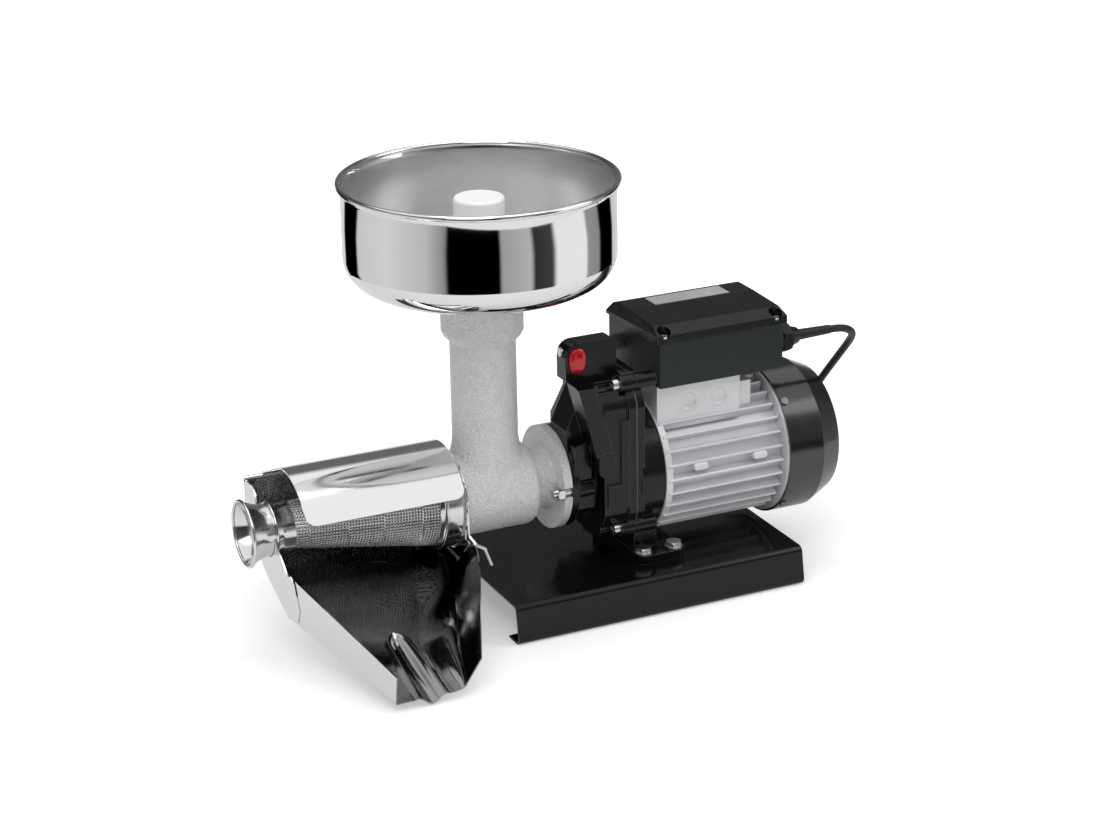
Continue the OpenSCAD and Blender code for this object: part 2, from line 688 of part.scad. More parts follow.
lay_h = lay_z - axis_h;

module output_gear() color([0.6, 0.6, 0.62]) place() difference() {
    union() {
        gear(out_gear_x, 0, out_gear_w, out_teeth, 180 + 180 / out_teeth);
        ring(chamber_x + 0.5, 4, out_shaft_d + 14);
    }
    ring(chamber_x - 1, 40, out_shaft_d + 2 * 0.01);
    translate([out_gear_x + out_gear_w - 2.5, 0, axis_h]) rotate([0, 90, 0]) difference() {
        cylinder(h = 5, r = out_pitch - 5, $fn = 64);
        translate([0, 0, -1]) cylinder(h = 8, d = out_shaft_d + 12, $fn = 64);
    }
}

drive_af = out_shaft_d * 0.8;
drive_l = 22;
auger_x = barrel_right - 9.5;

module output_shaft() color(steel) place() {
    ring(auger_x + 0.5, out_gear_x + out_gear_w - auger_x - 0.5, out_shaft_d);
    along(auger_x - drive_l + 1) cylinder(h = drive_l, d = drive_af / cos(30), $fn = 6);
}

module layshaft() color(steel) place() {
    translate([chamber_x - 8.5, 0, lay_z]) rotate([0, 90, 0])
        cylinder(h = shield_wall_x + 10 - chamber_x + 8.5, d = lay_shaft_d, $fn = 64);
    gear(chamber_x + 2, lay_h, lay_gear_x - chamber_x - 3, lay_pinion_teeth, 0);
}

module lay_gear() color([0.6, 0.6, 0.62]) place() difference() {
    gear(lay_gear_x, lay_h, lay_gear_w, lay_gear_teeth, 180 / lay_gear_teeth);
    translate([lay_gear_x - 1, 0, lay_z]) rotate([0, 90, 0])
        cylinder(h = lay_gear_w + 2, d = lay_shaft_d + 2 * 0.01, $fn = 64);
}

module lay_bushes() color([0.7, 0.55, 0.3]) place() for (x = [chamber_x - 9, shield_wall_x])
    translate([x, 0, lay_z]) rotate([0, 90, 0]) difference() {
        cylinder(h = 10, d = lay_shaft_d + 5, $fn = 48);
        translate([0, 0, -1]) cylinder(h = 12, d = lay_shaft_d + 2 * run_gap, $fn = 64);
    }

// Auger

cone_slope = (cone_big_d - cone_small_d) / 2 / cone_l;
function cone_r(x) = cone_big_d / 2 + (x - cone_x) * cone_slope;
auger_tip = cone_tip_x - 3;
auger_steps = 16;
auger_rings = ceil((auger_x - auger_tip) * auger_steps / auger_pitch);
flight_ramp = 8;
function core_r(x) = (auger_tip_d + (auger_core_d - auger_tip_d)
    * min(1, (x - auger_tip) / (-auger_tip - barrel_left))) / 2;
function flight_r(x) = min(barrel_bore / 2, x < cone_x + 3 ? cone_r(x) - strainer_t : barrel_bore) - auger_gap;

// Section of the auger at x: the core with the flight as a lobe that turns with x
function auger_section(x) = let (r0 = core_r(x), foot = flight_t * 216 / auger_pitch, crest = foot * 0.5,
        r1 = r0 + (flight_r(x) - r0) * max(0, min(1, (auger_x - 5 - x) / flight_ramp, (x - auger_tip - 2) / flight_ramp)),
        lobe = [[-foot, r0], [-crest, r1], [0, r1], [crest, r1], [foot, r0]],
        rest = [for (i = [1:9]) [foot + (360 - 2 * foot) * i / 10, r0]])
    [for (p = concat(lobe, rest)) let (t = p[0] + 360 * x / auger_pitch) [x, p[1] * cos(t), p[1] * sin(t)]];

module auger() color([0.9, 0.9, 0.88]) place() difference() {
    translate([0, 0, axis_h]) ring_body([for (i = [0:auger_rings])
        auger_section(auger_tip + (auger_x - auger_tip) * i / auger_rings)]);
    along(auger_x - drive_l - 1) cylinder(h = drive_l + 3, d = (drive_af + 0.3) / cos(30), $fn = 6);
}

// Strainer

module strainer_cone() color(steel) place() lathe([[cone_r(cone_tip_x) - strainer_t, cone_tip_x],
    [cone_r(cone_tip_x), cone_tip_x], [cone_r(cone_x), cone_x], [cone_r(cone_x) - strainer_t, cone_x]]);

// Spout: band round the cone's end, bead, neck and flare to a rolled rim
module strainer_spout() color(steel) place() along(0) {
    band = cone_small_d / 2 + 1.2 + strainer_t / 2;
    flare = spout_d / 2 - spout_neck_d / 2;
    rotate_extrude($fn = 96) sheet(concat([[band, cone_tip_x + 6], [band, cone_tip_x + 1],
        [band - 0.6, cone_tip_x - 4], [spout_neck_d / 2 - 1, neck_x + 2], [spout_neck_d / 2 - 0.5, neck_x - 4]],
        [for (i = [1:6]) [spout_neck_d / 2 - 0.5 + flare * (1 - cos(i * 15)) * 1.02, neck_x - 4 - spout_l * i / 6]]),
        strainer_t);
    bead(spout_neck_d / 2, neck_x, bead_d);
    bead(spout_d / 2, spout_x, bead_d);
}

// Round bead turned about the motor axis
module bead(r, x, d) rotate_extrude($fn = 96) translate([r, x]) circle(d = d, $fn = 24);

module strainer_collar() color(steel) place() along(0) {
    rotate_extrude($fn = 96) sheet([[cone_r(cone_x - 5) + strainer_t / 2 + run_gap, cone_x - 5],
        [cone_big_d / 2 + 0.7, cone_x - 1.6], [ring_d / 2 - strainer_t / 2, cone_x - 0.6],
        [ring_d / 2 - strainer_t / 2, cone_x + 1.6 + ring_l]], strainer_t);
    bead(ring_d / 2 - 0.2, cone_x, bead_d * 0.8);
}

// Drip tray

// Sheet whose middle surface runs through rows of points, t thick
module grid_sheet(rows, t) {
    n = len(rows);
    m = len(rows[0]);
    normals = [for (i = [0:n - 1]) [for (j = [0:m - 1])
        unit(cross(rows[i][min(j + 1, m - 1)] - rows[i][max(j - 1, 0)],
            rows[min(i + 1, n - 1)][j] - rows[max(i - 1, 0)][j]))]];
    top = [for (i = [0:n - 1], j = [0:m - 1]) rows[i][j] + normals[i][j] * t / 2];
    low = [for (i = [0:n - 1], j = [0:m - 1]) rows[i][j] - normals[i][j] * t / 2];
    q = n * m;
    edge = concat([for (j = [0:m - 1]) j], [for (i = [1:n - 1]) i * m + m - 1],
        [for (j = [m - 2:-1:0]) (n - 1) * m + j], [for (i = [n - 2:-1:1]) i * m]);
    polyhedron(concat(top, low), concat(
        [for (i = [0:n - 2], j = [0:m - 2]) let (a = i * m + j) each [[a, a + m, a + 1], [a + 1, a + m, a + m + 1]]],
        [for (i = [0:n - 2], j = [0:m - 2]) let (a = q + i * m + j) each [[a, a + 1, a + m], [a + 1, a + m + 1, a + m]]],
        [for (k = [0:len(edge) - 1]) let (a = edge[k], b = edge[(k + 1) % len(edge)])
            each [[a, b, a + q], [b, b + q, a + q]]]), 8);
}

// Edges of the tray at a distance y from the motor axis
function tray_x0(y) = lookup(y, [[-lip_reach, lip_left], [tray_fold_y, tray_left]]);
function tray_z0(y) = lookup(y, [[-lip_reach, lip_z], [tray_fold_y, fold_z], [0, 66], [tray_back, back_z]]);
function tray_wall(y) = lookup(y, [[-lip_reach, lip_wall], [tray_fold_y, fold_wall],
    [tray_fold_y + 14, 12], [tray_back, 8]]);
function tray_x1(y) = lookup(y, [[-lip_reach, lip_left + lip_w], [-75, tray_right - 26],
    [tray_fold_y, tray_right - 14], [-10, tray_right - 8], [tray_back, tray_right - 6]]);
function tray_crest(y) = lookup(y, [[-lip_reach, lip_z + 4], [-120, 34], [-75, crest_z],
    [18, crest_z], [33, 72], [tray_back, back_z]]);
function tray_edge_x(y) = lookup(y, [[-lip_reach, lip_left + lip_w + 13], [-80, tray_right - 6],
    [tray_fold_y, tray_right], [tray_back, tray_right]]);
function tray_edge_z(y) = lookup(y, [[-lip_reach, lip_z + 22], [-80, 88], [tray_fold_y, 82],
    [-30, crest_z + 3], [18, crest_z + 3], [33, 76], [tray_back, back_z + 4]]);
function tray_mid_z(y) = lookup(y, [[-lip_reach, lip_z], [-80, 27], [-48, 34], [0, 50], [18, 56],
    [33, 69], [tray_back, back_z - 2]]);

// Row of the tray's surface at y, from the left wall's top over the floor to the right edge
function tray_row(y) = let (x0 = tray_x0(y), x1 = tray_x1(y), z0 = tray_z0(y), zm = tray_mid_z(y),
        deep = max(0, 1 - (y + lip_reach) / 84), g = gutter_depth * min(1, deep * 1.6),
        gx = x0 + (x1 - x0) * (0.42 + 0.1 * (1 - deep)), gw = gutter_w / 2 * (0.25 + 0.75 * deep),
        rise = tray_crest(y) - zm, bend = min(tray_corner_r, (x1 - gx - gw) * 0.8))
    concat([[x0, y - tray_wall(y) * wall_lean * deep, z0 + tray_wall(y)], [x0, y, z0]],
        [[x0 + (gx - gw - x0) * 0.5, y, (z0 + zm) / 2], [gx - gw, y, zm], [gx - gw * 0.35, y, zm - g * 0.8],
         [gx, y, zm - g], [gx + gw * 0.35, y, zm - g * 0.8], [gx + gw, y, zm]],
        [for (a = [0:22.5:90]) [x1 - bend + bend * sin(a), y, zm + rise * (1 - cos(a))]],
        [[tray_edge_x(y), y, max(tray_edge_z(y), tray_crest(y) + 2)]]);

tray_rows = [-lip_reach, -145, -125, -103, -79, -62, tray_fold_y, tray_fold_y + 14, -12, 3, 18, 33, tray_back];

// End plate of the tray in Y and Z with a round notch of radius r; the front edge leans
module end_plate(x, low, low_back, r) difference() {
    prism_x(x - tray_t / 2, tray_t) polygon(rounded([[tray_fold_y, low[0], 0], [0, low[1], 0],
        [33, low[2], 0], [tray_back, low_back, 0], [tray_back, tray_top, 0], [tray_back - 7, tray_top, 4],
        [tray_back - 16, axis_h + 4, 6], [-r - 9, axis_h + 2, 3], [-r - 6, axis_h - 20, 3],
        [tray_fold_y - 16, axis_h - 24, 1]], 3));
    along(x - 5) cylinder(h = 10, r = r, $fn = 96);
    translate([x - 5, -r, axis_h]) cube([10, 2 * r, r + 10]);
}

// Plate at the tray's right end, between the crest and the rear wall, open round the collar
module collar_plate(x, r) difference() {
    prism_x(x - tray_t / 2, tray_t) polygon([[tray_fold_y, crest_z + 1], [18, crest_z + 1], [33, 75],
        [tray_back, back_z + 3], [tray_back, tray_top], [r - 5, tray_top], [r - 5, axis_h - 20],
        [5 - r, axis_h - 26], [tray_fold_y, axis_h - 26]]);
    along(x - 5) cylinder(h = 10, r = r, $fn = 96);
    translate([x - 5, -r, axis_h]) cube([10, 2 * r, r + 10]);
}

module drip_tray() color(steel) place() {
    grid_sheet([for (y = tray_rows) tray_row(y)], tray_t);
    end_plate(tray_left - 0.3, [fold_z - 0.7, tray_z0(0) - 0.7, tray_z0(33) - 0.7], back_z - 1, spout_neck_d / 2 + 0.6);
    collar_plate(tray_right, ring_d / 2 + 1.6);
    translate([tray_left - 0.9, tray_back - tray_t / 2, back_z - 3])
        cube([tray_right - tray_left + 1.2, tray_t, tray_top - back_z + 3]);
    translate([tray_left - 0.9, tray_back, tray_top]) rotate([0, 90, 0])
        cylinder(h = tray_right - tray_left + 1.2, d = tray_hem_d, $fn = 24);
}

// Splash guard

guard_left = cone_tip_x + 3;
guard_mid = [-8, axis_h];
guard_bend = 140;
// Angle at which the straight run leaves the bend, so that it lies on the tray's rolled edge
hem_at = [tray_back, tray_top] - guard_mid;
guard_rear = atan2(hem_at.y, hem_at.x)
    + acos((guard_r - tray_hem_d / 2 - guard_t / 2 - seat_gap) / norm(hem_at));
guard_run = hem_at * [sin(guard_rear), -cos(guard_rear)] + tray_hem_d / 2;
function on_bend(a, run) = guard_mid + guard_r * [cos(a), sin(a)] + run * [sin(a), -cos(a)];

module splash_guard() color(steel) place() difference() {
    prism_x(guard_left, guard_l) sheet(concat([on_bend(guard_rear, guard_run)],
        arc(guard_mid, guard_r, guard_rear, guard_bend, 20), [on_bend(guard_bend, -guard_flat)]), guard_t);
    // Rounded lower corners
    for (e = [0, 1]) translate([guard_left + e * guard_l, -guard_r - 20, axis_h + 18.2]) mirror([e, 0, 0])
        rotate([-90, 0, 0]) linear_extrude(30) difference() {
            translate([-1, -9]) square([10, 10]);
            translate([9, -9]) circle(r = 9, $fn = 32);
        }
}

// Retaining spring

wire_x = tray_right + 3.5;
wire_r = barrel_d / 2 + wire_d / 2 + slip_gap;
wire_path = concat([for (a = [50:6:176]) [wire_x, wire_r * cos(a), axis_h + wire_r * sin(a)]],
    round_path([[wire_x, -wire_r, axis_h], [wire_x, -wire_r, axis_h - 24],
        [wire_x + 4, -wire_r - 7, axis_h - 31], [wire_x + 12, -wire_r - 7, axis_h - 36],
        [wire_x + 18, -wire_r - 7, axis_h - 52]], 3, 4));

module retaining_spring() color(steel) place() swept(wire_path, wire_d);

// Hopper and pusher

neck_d_hopper = collar_bore - 2 * slip_gap;
hopper_wall_r = hopper_d / 2 - hopper_t / 2;

module hopper() color(steel) place() rotate_extrude($fn = 128) {
    low = seat_h + seat_gap + hopper_t / 2;
    corner_z = low + hopper_rise + hopper_corner;
    top = seat_h + hopper_h - rim_bead_d / 2;
    neck_r = neck_d_hopper / 2 - hopper_t / 2;
    sheet(concat([[neck_r, seat_h - hopper_neck], [neck_r, low - 2], [neck_r + 2, low],
        [collar_d / 2 + 1, low]],
        arc([hopper_wall_r - hopper_corner, corner_z], hopper_corner, -82, 0, 8),
        [[hopper_wall_r, top - rim_bead_d]]), hopper_t);
    sheet([[hopper_wall_r, top - rim_bead_d - 1], [rim_d / 2 - rim_bead_d / 2 - 0.6, top - 1]], hopper_t);
    translate([rim_d / 2 - rim_bead_d / 2, top]) circle(d = rim_bead_d, $fn = 24);
}

pusher_low = axis_h + barrel_bore / 2 - auger_gap + seat_gap;

module pusher() color("white") place() difference() {
    rotate_extrude($fn = 96) polygon(concat([[0, pusher_low], [pusher_d / 2 - 2, pusher_low],
        [pusher_d / 2, pusher_low + 2]],
        arc([pusher_d / 2 - 3, pusher_low + pusher_l - 3], 3, 0, 90, 4), [[0, pusher_low + pusher_l]]));
    translate([0, 0, pusher_low - 1]) cylinder(h = pusher_l - 8, d = pusher_d - 8, $fn = 64);
}

// Motor

core_x = housing_x + (housing_l - core_l) / 2;
rear_x = housing_end - 6;
rear_bearing_x = rear_x + 4;
fan_x = rear_bearing_x + motor_bearing_w + 8;
fan_w = 16;
fan_d = cover_end_d - 4;
fan_hub_d = motor_shaft_d + 16;
pinion_x = lay_gear_x - 1;

module stator_housing() color([0.8, 0.8, 0.8]) place() difference() {
    union() {
        ring(housing_x, housing_l, housing_d);
        ring(housing_x, 6, fin_d - 2);
        prism_x(housing_x + 1, housing_l - 4) translate([0, axis_h]) for (i = [0:fin_turn - 1])
            rotate(i * 360 / fin_turn) translate([0, -fin_t / 2]) square([fin_d / 2, fin_t]);
        // Pedestal under the terminal box
        difference() {
            translate([housing_x + 1, -box_front + 3, axis_h + 10])
                cube([housing_l * 0.7, box_w - 6, box_low - axis_h - 10]);
            for (x = [28, 54], s = [-1, 1]) translate([housing_x + x, box_mid + s * (box_w / 2 - 3), box_low - 15])
                rotate([90, 0, 0]) translate([0, 0, -1.2]) cylinder(h = 2.4, d = 15, $fn = 32);
        }
        translate([housing_x + housing_l * 0.7, -box_front + 8, axis_h + 10])
            cube([12, box_w - 16, box_low - axis_h - 22]);
        // Pads on the front fin
        for (x = [33, 92]) translate([housing_x + x, -fin_d / 2 + 2, axis_h + 8]) rotate([90, 0, 0])
            linear_extrude(4) polygon(box_outline(20, 7, 3, 3));
    }
    ring(housing_x - 1, housing_l + 2, stator_d);
    translate([housing_x + 10, -25, box_low - 30]) cube([70, 50, 60]);
}

module stator_core() color([0.5, 0.5, 0.52]) place() ring(core_x, core_l, stator_d, stator_bore);

module stator_windings() color([0.72, 0.4, 0.2]) place() for (x = [core_x - 13, core_x + core_l])
    along(x) rotate_extrude($fn = 64) polygon(rounded([[stator_bore / 2 + 4, 0, 4], [stator_d / 2 - 4, 0, 4],
        [stator_d / 2 - 3, 13, 3], [stator_bore / 2 + 3, 13, 3]], 3));

module rotor_core() color([0.55, 0.55, 0.58]) place()
    ring(core_x, core_l, stator_bore - 2 * air_gap, motor_shaft_d + 0.02);

module motor_shaft() color(steel) place() {
    ring(pinion_x + lay_gear_w + 1.5, fan_x + fan_w - pinion_x - lay_gear_w - 1.5, motor_shaft_d);
    gear(pinion_x, 0, lay_gear_w + 2, motor_teeth, 180);
}

module motor_bearings() color(steel) place() for (x = [bearing_x, rear_bearing_x])
    ring(x, motor_bearing_w, motor_bearing_d, motor_shaft_d + 2 * run_gap);

module rear_shield() color([0.7, 0.7, 0.7]) place() difference() {
    union() {
        ring(housing_end, 4, cover_d - 2 * cover_t - 0.4);
        ring(housing_end, 10, cover_d - 2 * cover_t - 0.4, cover_d - 2 * cover_t - 8);
        ring(rear_x, 7, stator_d - 0.1);
        ring(rear_x, motor_bearing_w + 5, motor_boss_d);
    }
    ring(rear_x - 1, 40, motor_shaft_d + 3);
    ring(rear_bearing_x, 40, motor_bearing_d);
    for (i = [0:3]) along(housing_end + 6) rotate([0, 0, 45 + i * 90]) translate([cover_d / 2 - 12, 0, 0])
        rotate([0, 90, 0]) cylinder(h = 12, d = 3.6 + 2 * run_gap, $fn = 24);
}

module motor_fan() color(black_plastic) place() {
    ring(fan_x, fan_w, fan_hub_d, motor_shaft_d + 0.02);
    ring(fan_x, 2, fan_d, fan_hub_d - 1);
    along(fan_x + 1) for (i = [0:7]) rotate([0, 0, i * 45])
        translate([fan_hub_d / 2 - 1, -1, 0]) cube([(fan_d - fan_hub_d) / 2 - 1, 2, fan_w - 1]);
}

// Fan cover with rings of air slots in its end
module fan_cover() color(black_plastic) place() difference() {
    along(0) rotate_extrude($fn = 96) sheet([[cover_d / 2 - cover_t / 2, cover_x],
        [cover_d / 2 - cover_t / 2, cover_x + cover_l], [cover_end_d / 2, cover_end - 3],
        [cover_end_d / 2 - 5, cover_end - cover_t / 2], [0, cover_end - cover_t / 2]], cover_t);
    for (r = [22:9:49], i = [0:7]) along(cover_end - 6) rotate([0, 0, i * 45 + 3])
        rotate_extrude(angle = 39, $fn = 64) translate([r - 2.2, 0]) square([4.4, 12]);
    for (i = [0:3]) along(housing_end + 6) rotate([0, 0, 45 + i * 90]) translate([cover_d / 2 - 6, 0, 0])
        rotate([0, 90, 0]) cylinder(h = 12, d = 4.4, $fn = 24);
}

module cover_screws() color(zinc) place() for (i = [0:3]) along(housing_end + 6)
    rotate([0, 0, 45 + i * 90]) translate([cover_d / 2, 0, 0]) rotate([0, 90, 0]) {
        cylinder(h = 2, d = 7, $fn = 24);
        translate([0, 0, -8]) cylinder(h = 9, d = 3.6, $fn = 24);
    }

// Terminal box

box_x0 = housing_x - 1.5;
box_w = box_front + box_back;
box_mid = (box_back - box_front) / 2;
box_top = box_low + box_h;
lid_top = box_top + lid_rim + lid_crown;
lid_screw_in = 4.8;
lid_screw_at = [for (x = [box_x0 + 6, box_x0 + box_l - 5], y = [lid_screw_in - box_front, box_back - lid_screw_in])
    [x, y]];
gland_z = box_low + box_h / 2;

lid_screw_d = 4.2;
capacitor_l = 70;
box_boss_h = 8;

// Round bosses at the corners of the box, from z up
module corner_bosses(z, h, d) for (p = lid_screw_at) translate([p.x, p.y, z]) cylinder(h = h, d = d, $fn = 32);

module terminal_box() color(black_plastic) place() difference() {
    translate([box_x0, -box_front, box_low]) cube([box_l, box_w, box_h]);
    difference() {
        translate([box_x0 + box_t, -box_front + box_t, box_low + box_t])
            cube([box_l - 2 * box_t, box_w - 2 * box_t, box_h]);
        corner_bosses(box_top - box_boss_h, box_boss_h + 5, 11);
    }
    corner_bosses(box_top - box_boss_h - 1, box_boss_h + 5, lid_screw_d + 2 * run_gap);
    translate([box_x0 + 20, -15, box_low - 1]) cube([50, 30, 10]);
    translate([box_x0 + box_l - 10, -gland_y, gland_z]) rotate([0, 90, 0])
        cylinder(h = 20, d = gland_af - 7, $fn = 48);
}

module box_gasket() color(rubber) place() translate([box_x0 + box_l / 2, box_mid, box_top]) linear_extrude(1)
    difference() {
        polygon(box_outline(box_l - 0.6, box_w - 0.6, 3, 3));
        polygon(box_outline(box_l - 2 * box_t, box_w - 2 * box_t, 2, 3));
    }

// Lid: straight rim, steep sides and a gently crowned top, with pockets for its screws
module box_lid() color(black_plastic) place() difference() {
    hull() {
        translate([box_x0 - 3, -box_front - 0.5, box_top + 1]) cube([box_l + 7, box_w + 0.5, 3]);
        translate([box_x0 - 3, -box_front - 0.5, box_top + 1]) cube([box_l + 7, 4, lid_rim - 1]);
        translate([box_x0 - 1, -box_front + 11, lid_top - 4]) cube([box_l + 2.5, box_w - 22, 1.5]);
        translate([box_x0 - 1, 1, lid_top - 1]) cube([box_l + 1, 27, 1]);
    }
    difference() {
        translate([box_x0 + box_t, -box_front + box_t, box_top])
            cube([box_l - 2 * box_t, box_w - 2 * box_t, lid_rim - box_t]);
        corner_bosses(box_top, lid_rim, 17);
    }
    corner_bosses(box_top + 4, 30, 12);
    corner_bosses(box_top, 8, lid_screw_d + 2 * run_gap);
}

module lid_screws() color(zinc) place() for (p = lid_screw_at) translate([p.x, p.y, box_top + 4])
    difference() {
        union() {
            cylinder(h = 2.6, d = 8, $fn = 24);
            translate([0, 0, -3 - box_boss_h]) cylinder(h = 3.2 + box_boss_h, d = lid_screw_d, $fn = 24);
        }
        translate([-5, -0.6, 1.6]) cube([10, 1.2, 2]);
    }

module capacitor() color([0.85, 0.85, 0.82]) place()
    translate([box_x0 + 20, 22, box_low + box_t + capacitor_d / 2 + seat_gap]) rotate([0, 90, 0]) {
        rotate_extrude($fn = 48) polygon(rounded([[0, 0, 0], [capacitor_d / 2, 0, 1.5],
            [capacitor_d / 2, capacitor_l, 1.5], [0, capacitor_l, 0]], 2));
        for (s = [-1, 1]) translate([-1, s * 6 - 3, capacitor_l - 0.5]) cube([2, 6, 8]);
    }

module terminal_block() color([0.8, 0.78, 0.7]) place()
    translate([box_x0 + 78, -44, box_low + box_t]) difference() {
        cube([32, 36, 14]);
        for (i = [0:2], j = [0, 1]) translate([8 + 16 * j, 6 + 12 * i, 8]) cylinder(h = 8, d = 6, $fn = 24);
    }

// Cable gland, boot and lead

module gland_body() color(black_plastic) place()
    translate([box_x0 + box_l - box_t, -gland_y, gland_z]) rotate([0, 90, 0]) difference() {
        union() {
            cylinder(h = 14, d = gland_af - 7.4, $fn = 48);
            translate([0, 0, box_t]) hexagon(gland_af, 6);
            translate([0, 0, -4]) cylinder(h = 4, d = gland_af - 2, $fn = 6);
        }
        translate([0, 0, -5]) cylinder(h = 30, d = cord_d + 1, $fn = 48);
    }

gland_nut_x = box_x0 + box_l + 6.4;
boot_x = gland_nut_x + 19;
boot_end = boot_x + boot_l;

module gland_nut() color(black_plastic) place() translate([gland_nut_x, -gland_y, gland_z])
    rotate([0, 90, 0]) difference() {
        union() {
            hexagon(gland_af, 10);
            translate([0, 0, 9]) cylinder(h = 10, d1 = gland_af * 0.86, d2 = gland_af * 0.6, $fn = 48);
        }
        translate([0, 0, -1]) cylinder(h = 9, d = gland_af - 7.4 + 2 * run_gap, $fn = 48);
        translate([0, 0, -1]) cylinder(h = 30, d = cord_d + 0.6, $fn = 48);
    }

module cable_boot() color(rubber) place() translate([boot_x, -gland_y, gland_z]) rotate([0, 90, 0])
    difference() {
        cylinder(h = boot_l, d1 = cord_d + 3, d2 = cord_d + 1, $fn = 48);
        translate([0, 0, -1]) cylinder(h = boot_l + 2, d = cord_d + 2 * run_gap, $fn = 48);
    }

// Route of the lead from the gland to the coil, chosen by hand, from the feed tube's axis
cord_path = [[282, -32, 213], [303, -32, 213], [325, -32, 213], [338, -31, 212], [349, -27, 207],
    [357, -19, 199], [361, -7, 189], [362, 7, 175], [362, 21, 160], [360, 36, 142], [357, 50, 122],
    [353, 63, 101], [348, 76, 80], [341, 88, 60], [332, 99, 42], [321, 109, 27], [311, 119, 14],
    [304, 130, 6.5], [301, 142, 4], [301, 155, 4]];
plug_d = 37;
plug_z = plug_d / 2 + 0.5;
coil_mid = [251, 150];
coil_d = 92;
coil_hole_d = 48;
plug_tail_d = 11;
coil_h = plug_z - plug_tail_d / 2 - slip_gap;

module power_cord() color(rubber) place() swept(cord_path, cord_d);

module power_cord_coil() color(rubber) place() translate([coil_mid.x, coil_mid.y, 0])
    rotate_extrude($fn = 64) polygon(rounded([[coil_hole_d / 2, 0.5, 3], [coil_d / 2, 0.5, 3],
        [coil_d / 2, coil_h, 3], [coil_hole_d / 2, coil_h, 3]], 3));

// Mains plug: a round face with a slot for an earth clip in each side, and a tapered tail
plug_l = 44;
plug_pitch = 19;
pin_d = 4.8;
plug_at = [coil_mid.x - 18 - plug_l, coil_mid.y + coil_d / 2 - cord_d, plug_z];

module power_plug() color(rubber) place() translate(plug_at) rotate([0, 90, 0]) difference() {
    rotate_extrude($fn = 64) polygon(rounded([[0, 0, 0], [plug_d / 2, 0, 1.5], [plug_d / 2, 17, 7],
        [8, 25, 5], [plug_tail_d / 2, plug_l, 1], [0, plug_l, 0]], 3));
    for (s = [-1, 1]) translate([s * (plug_d / 2 + 1) - 3, -3, -1]) cube([6, 6, 14]);
}

module plug_pins() color(steel) place() for (s = [-1, 1])
    translate(plug_at + [0, s * plug_pitch / 2, 0]) rotate([0, -90, 0]) {
        cylinder(h = 19 - pin_d / 2, d = pin_d, $fn = 24);
        translate([0, 0, 19 - pin_d / 2]) sphere(d = pin_d, $fn = 24);
    }

// Switch

switch_x = case_x - 0.5;
switch_y = -36;
switch_low = case_top + seat_gap;
button_at = [switch_x + button_w / 2 + 2, switch_y, switch_low + switch_h - button_h / 2 - 3];
button_room = button_travel + 1;
switch_screw_z = switch_low + 26;
stem_d = 5;

// Front outline of the switch box, t inside its outer face
function switch_outline(t = 0) = rounded([[switch_x + t, switch_low + t, 2], [switch_x + switch_l - t, switch_low + t, 2],
    [switch_x + switch_l - t, switch_low + switch_h - t, 5 - t],
    [switch_x + t, switch_low + switch_h - t, 12 - t]], 5);

module button_outline(grow = 0) translate([button_at.x, button_at.z])
    polygon(box_outline(button_w + grow, button_h + grow, 8 + grow / 2, 6));

module switch_box() color(black_plastic) place() difference() {
    union() {
        prism_y(switch_y, switch_w) polygon(switch_outline());
        prism_y(switch_y - 2, 4) button_outline(3);
    }
    prism_y(switch_y + switch_t, switch_w - 2 * switch_t) polygon(switch_outline(switch_t));
    prism_y(switch_y - 3, button_room + button_travel + 4) button_outline(0.8);
    translate([switch_x - 1, switch_y + switch_w / 2, switch_screw_z])
        rotate([0, 90, 0]) cylinder(h = 6, d = 4.2, $fn = 24);
}

module switch_button() color("red") place() {
    prism_y(switch_y - button_out + 3, button_out + button_room - 3) button_outline(0);
    prism_y(switch_y - button_out + 1, 3) button_outline(-3);
    prism_y(switch_y - button_out, 2) button_outline(-7);
    translate([button_at.x, switch_y + button_room - 0.5, button_at.z]) rotate([-90, 0, 0])
        cylinder(h = 4.5, d = stem_d, $fn = 32);
}

module button_spring() color(steel) place() translate([button_at.x, switch_y + button_room + 0.1, button_at.z])
    rotate([-90, 0, 0]) difference() {
        cylinder(h = 5.2, d = stem_d + 4, $fn = 32);
        translate([0, 0, -1]) cylinder(h = 8, d = stem_d + 1.6, $fn = 32);
    }

module switch_contacts() color([0.3, 0.3, 0.32]) place() difference() {
    translate([switch_x + switch_t + 2, switch_y + button_room + 5.4, switch_low + switch_t + seat_gap])
        cube([24, switch_w - switch_t - button_room - 5.6, switch_h - 2 * switch_t - 5]);
    translate([button_at.x, switch_y + button_room, button_at.z]) rotate([-90, 0, 0])
        cylinder(h = 12, d = stem_d + 5, $fn = 32);
}

module switch_screws() color(zinc) place()
    translate([switch_x, switch_y + switch_w / 2, switch_screw_z]) rotate([0, -90, 0]) {
        cylinder(h = 1.8, d = 8, $fn = 24);
        translate([0, 0, -switch_t - 0.6]) cylinder(h = switch_t + 0.8, d = 4, $fn = 24);
    }

base_plate();
base_bolts();
base_nuts();
press_body();
clamp_studs();
clamp_nuts();
gear_case();
case_gasket();
drive_shield();
case_screws();
shaft_seal();
output_bearings();
output_shaft();
output_gear();
layshaft();
lay_gear();
lay_bushes();
auger();
strainer_cone();
strainer_spout();
strainer_collar();
drip_tray();
splash_guard();
retaining_spring();
hopper();
pusher();
stator_housing();
stator_core();
stator_windings();
rotor_core();
motor_shaft();
motor_bearings();
rear_shield();
motor_fan();
fan_cover();
cover_screws();
terminal_box();
box_gasket();
box_lid();
lid_screws();
capacitor();
terminal_block();
gland_body();
gland_nut();
cable_boot();
power_cord();
power_cord_coil();
power_plug();
plug_pins();
switch_box();
switch_button();
button_spring();
switch_contacts();
switch_screws();
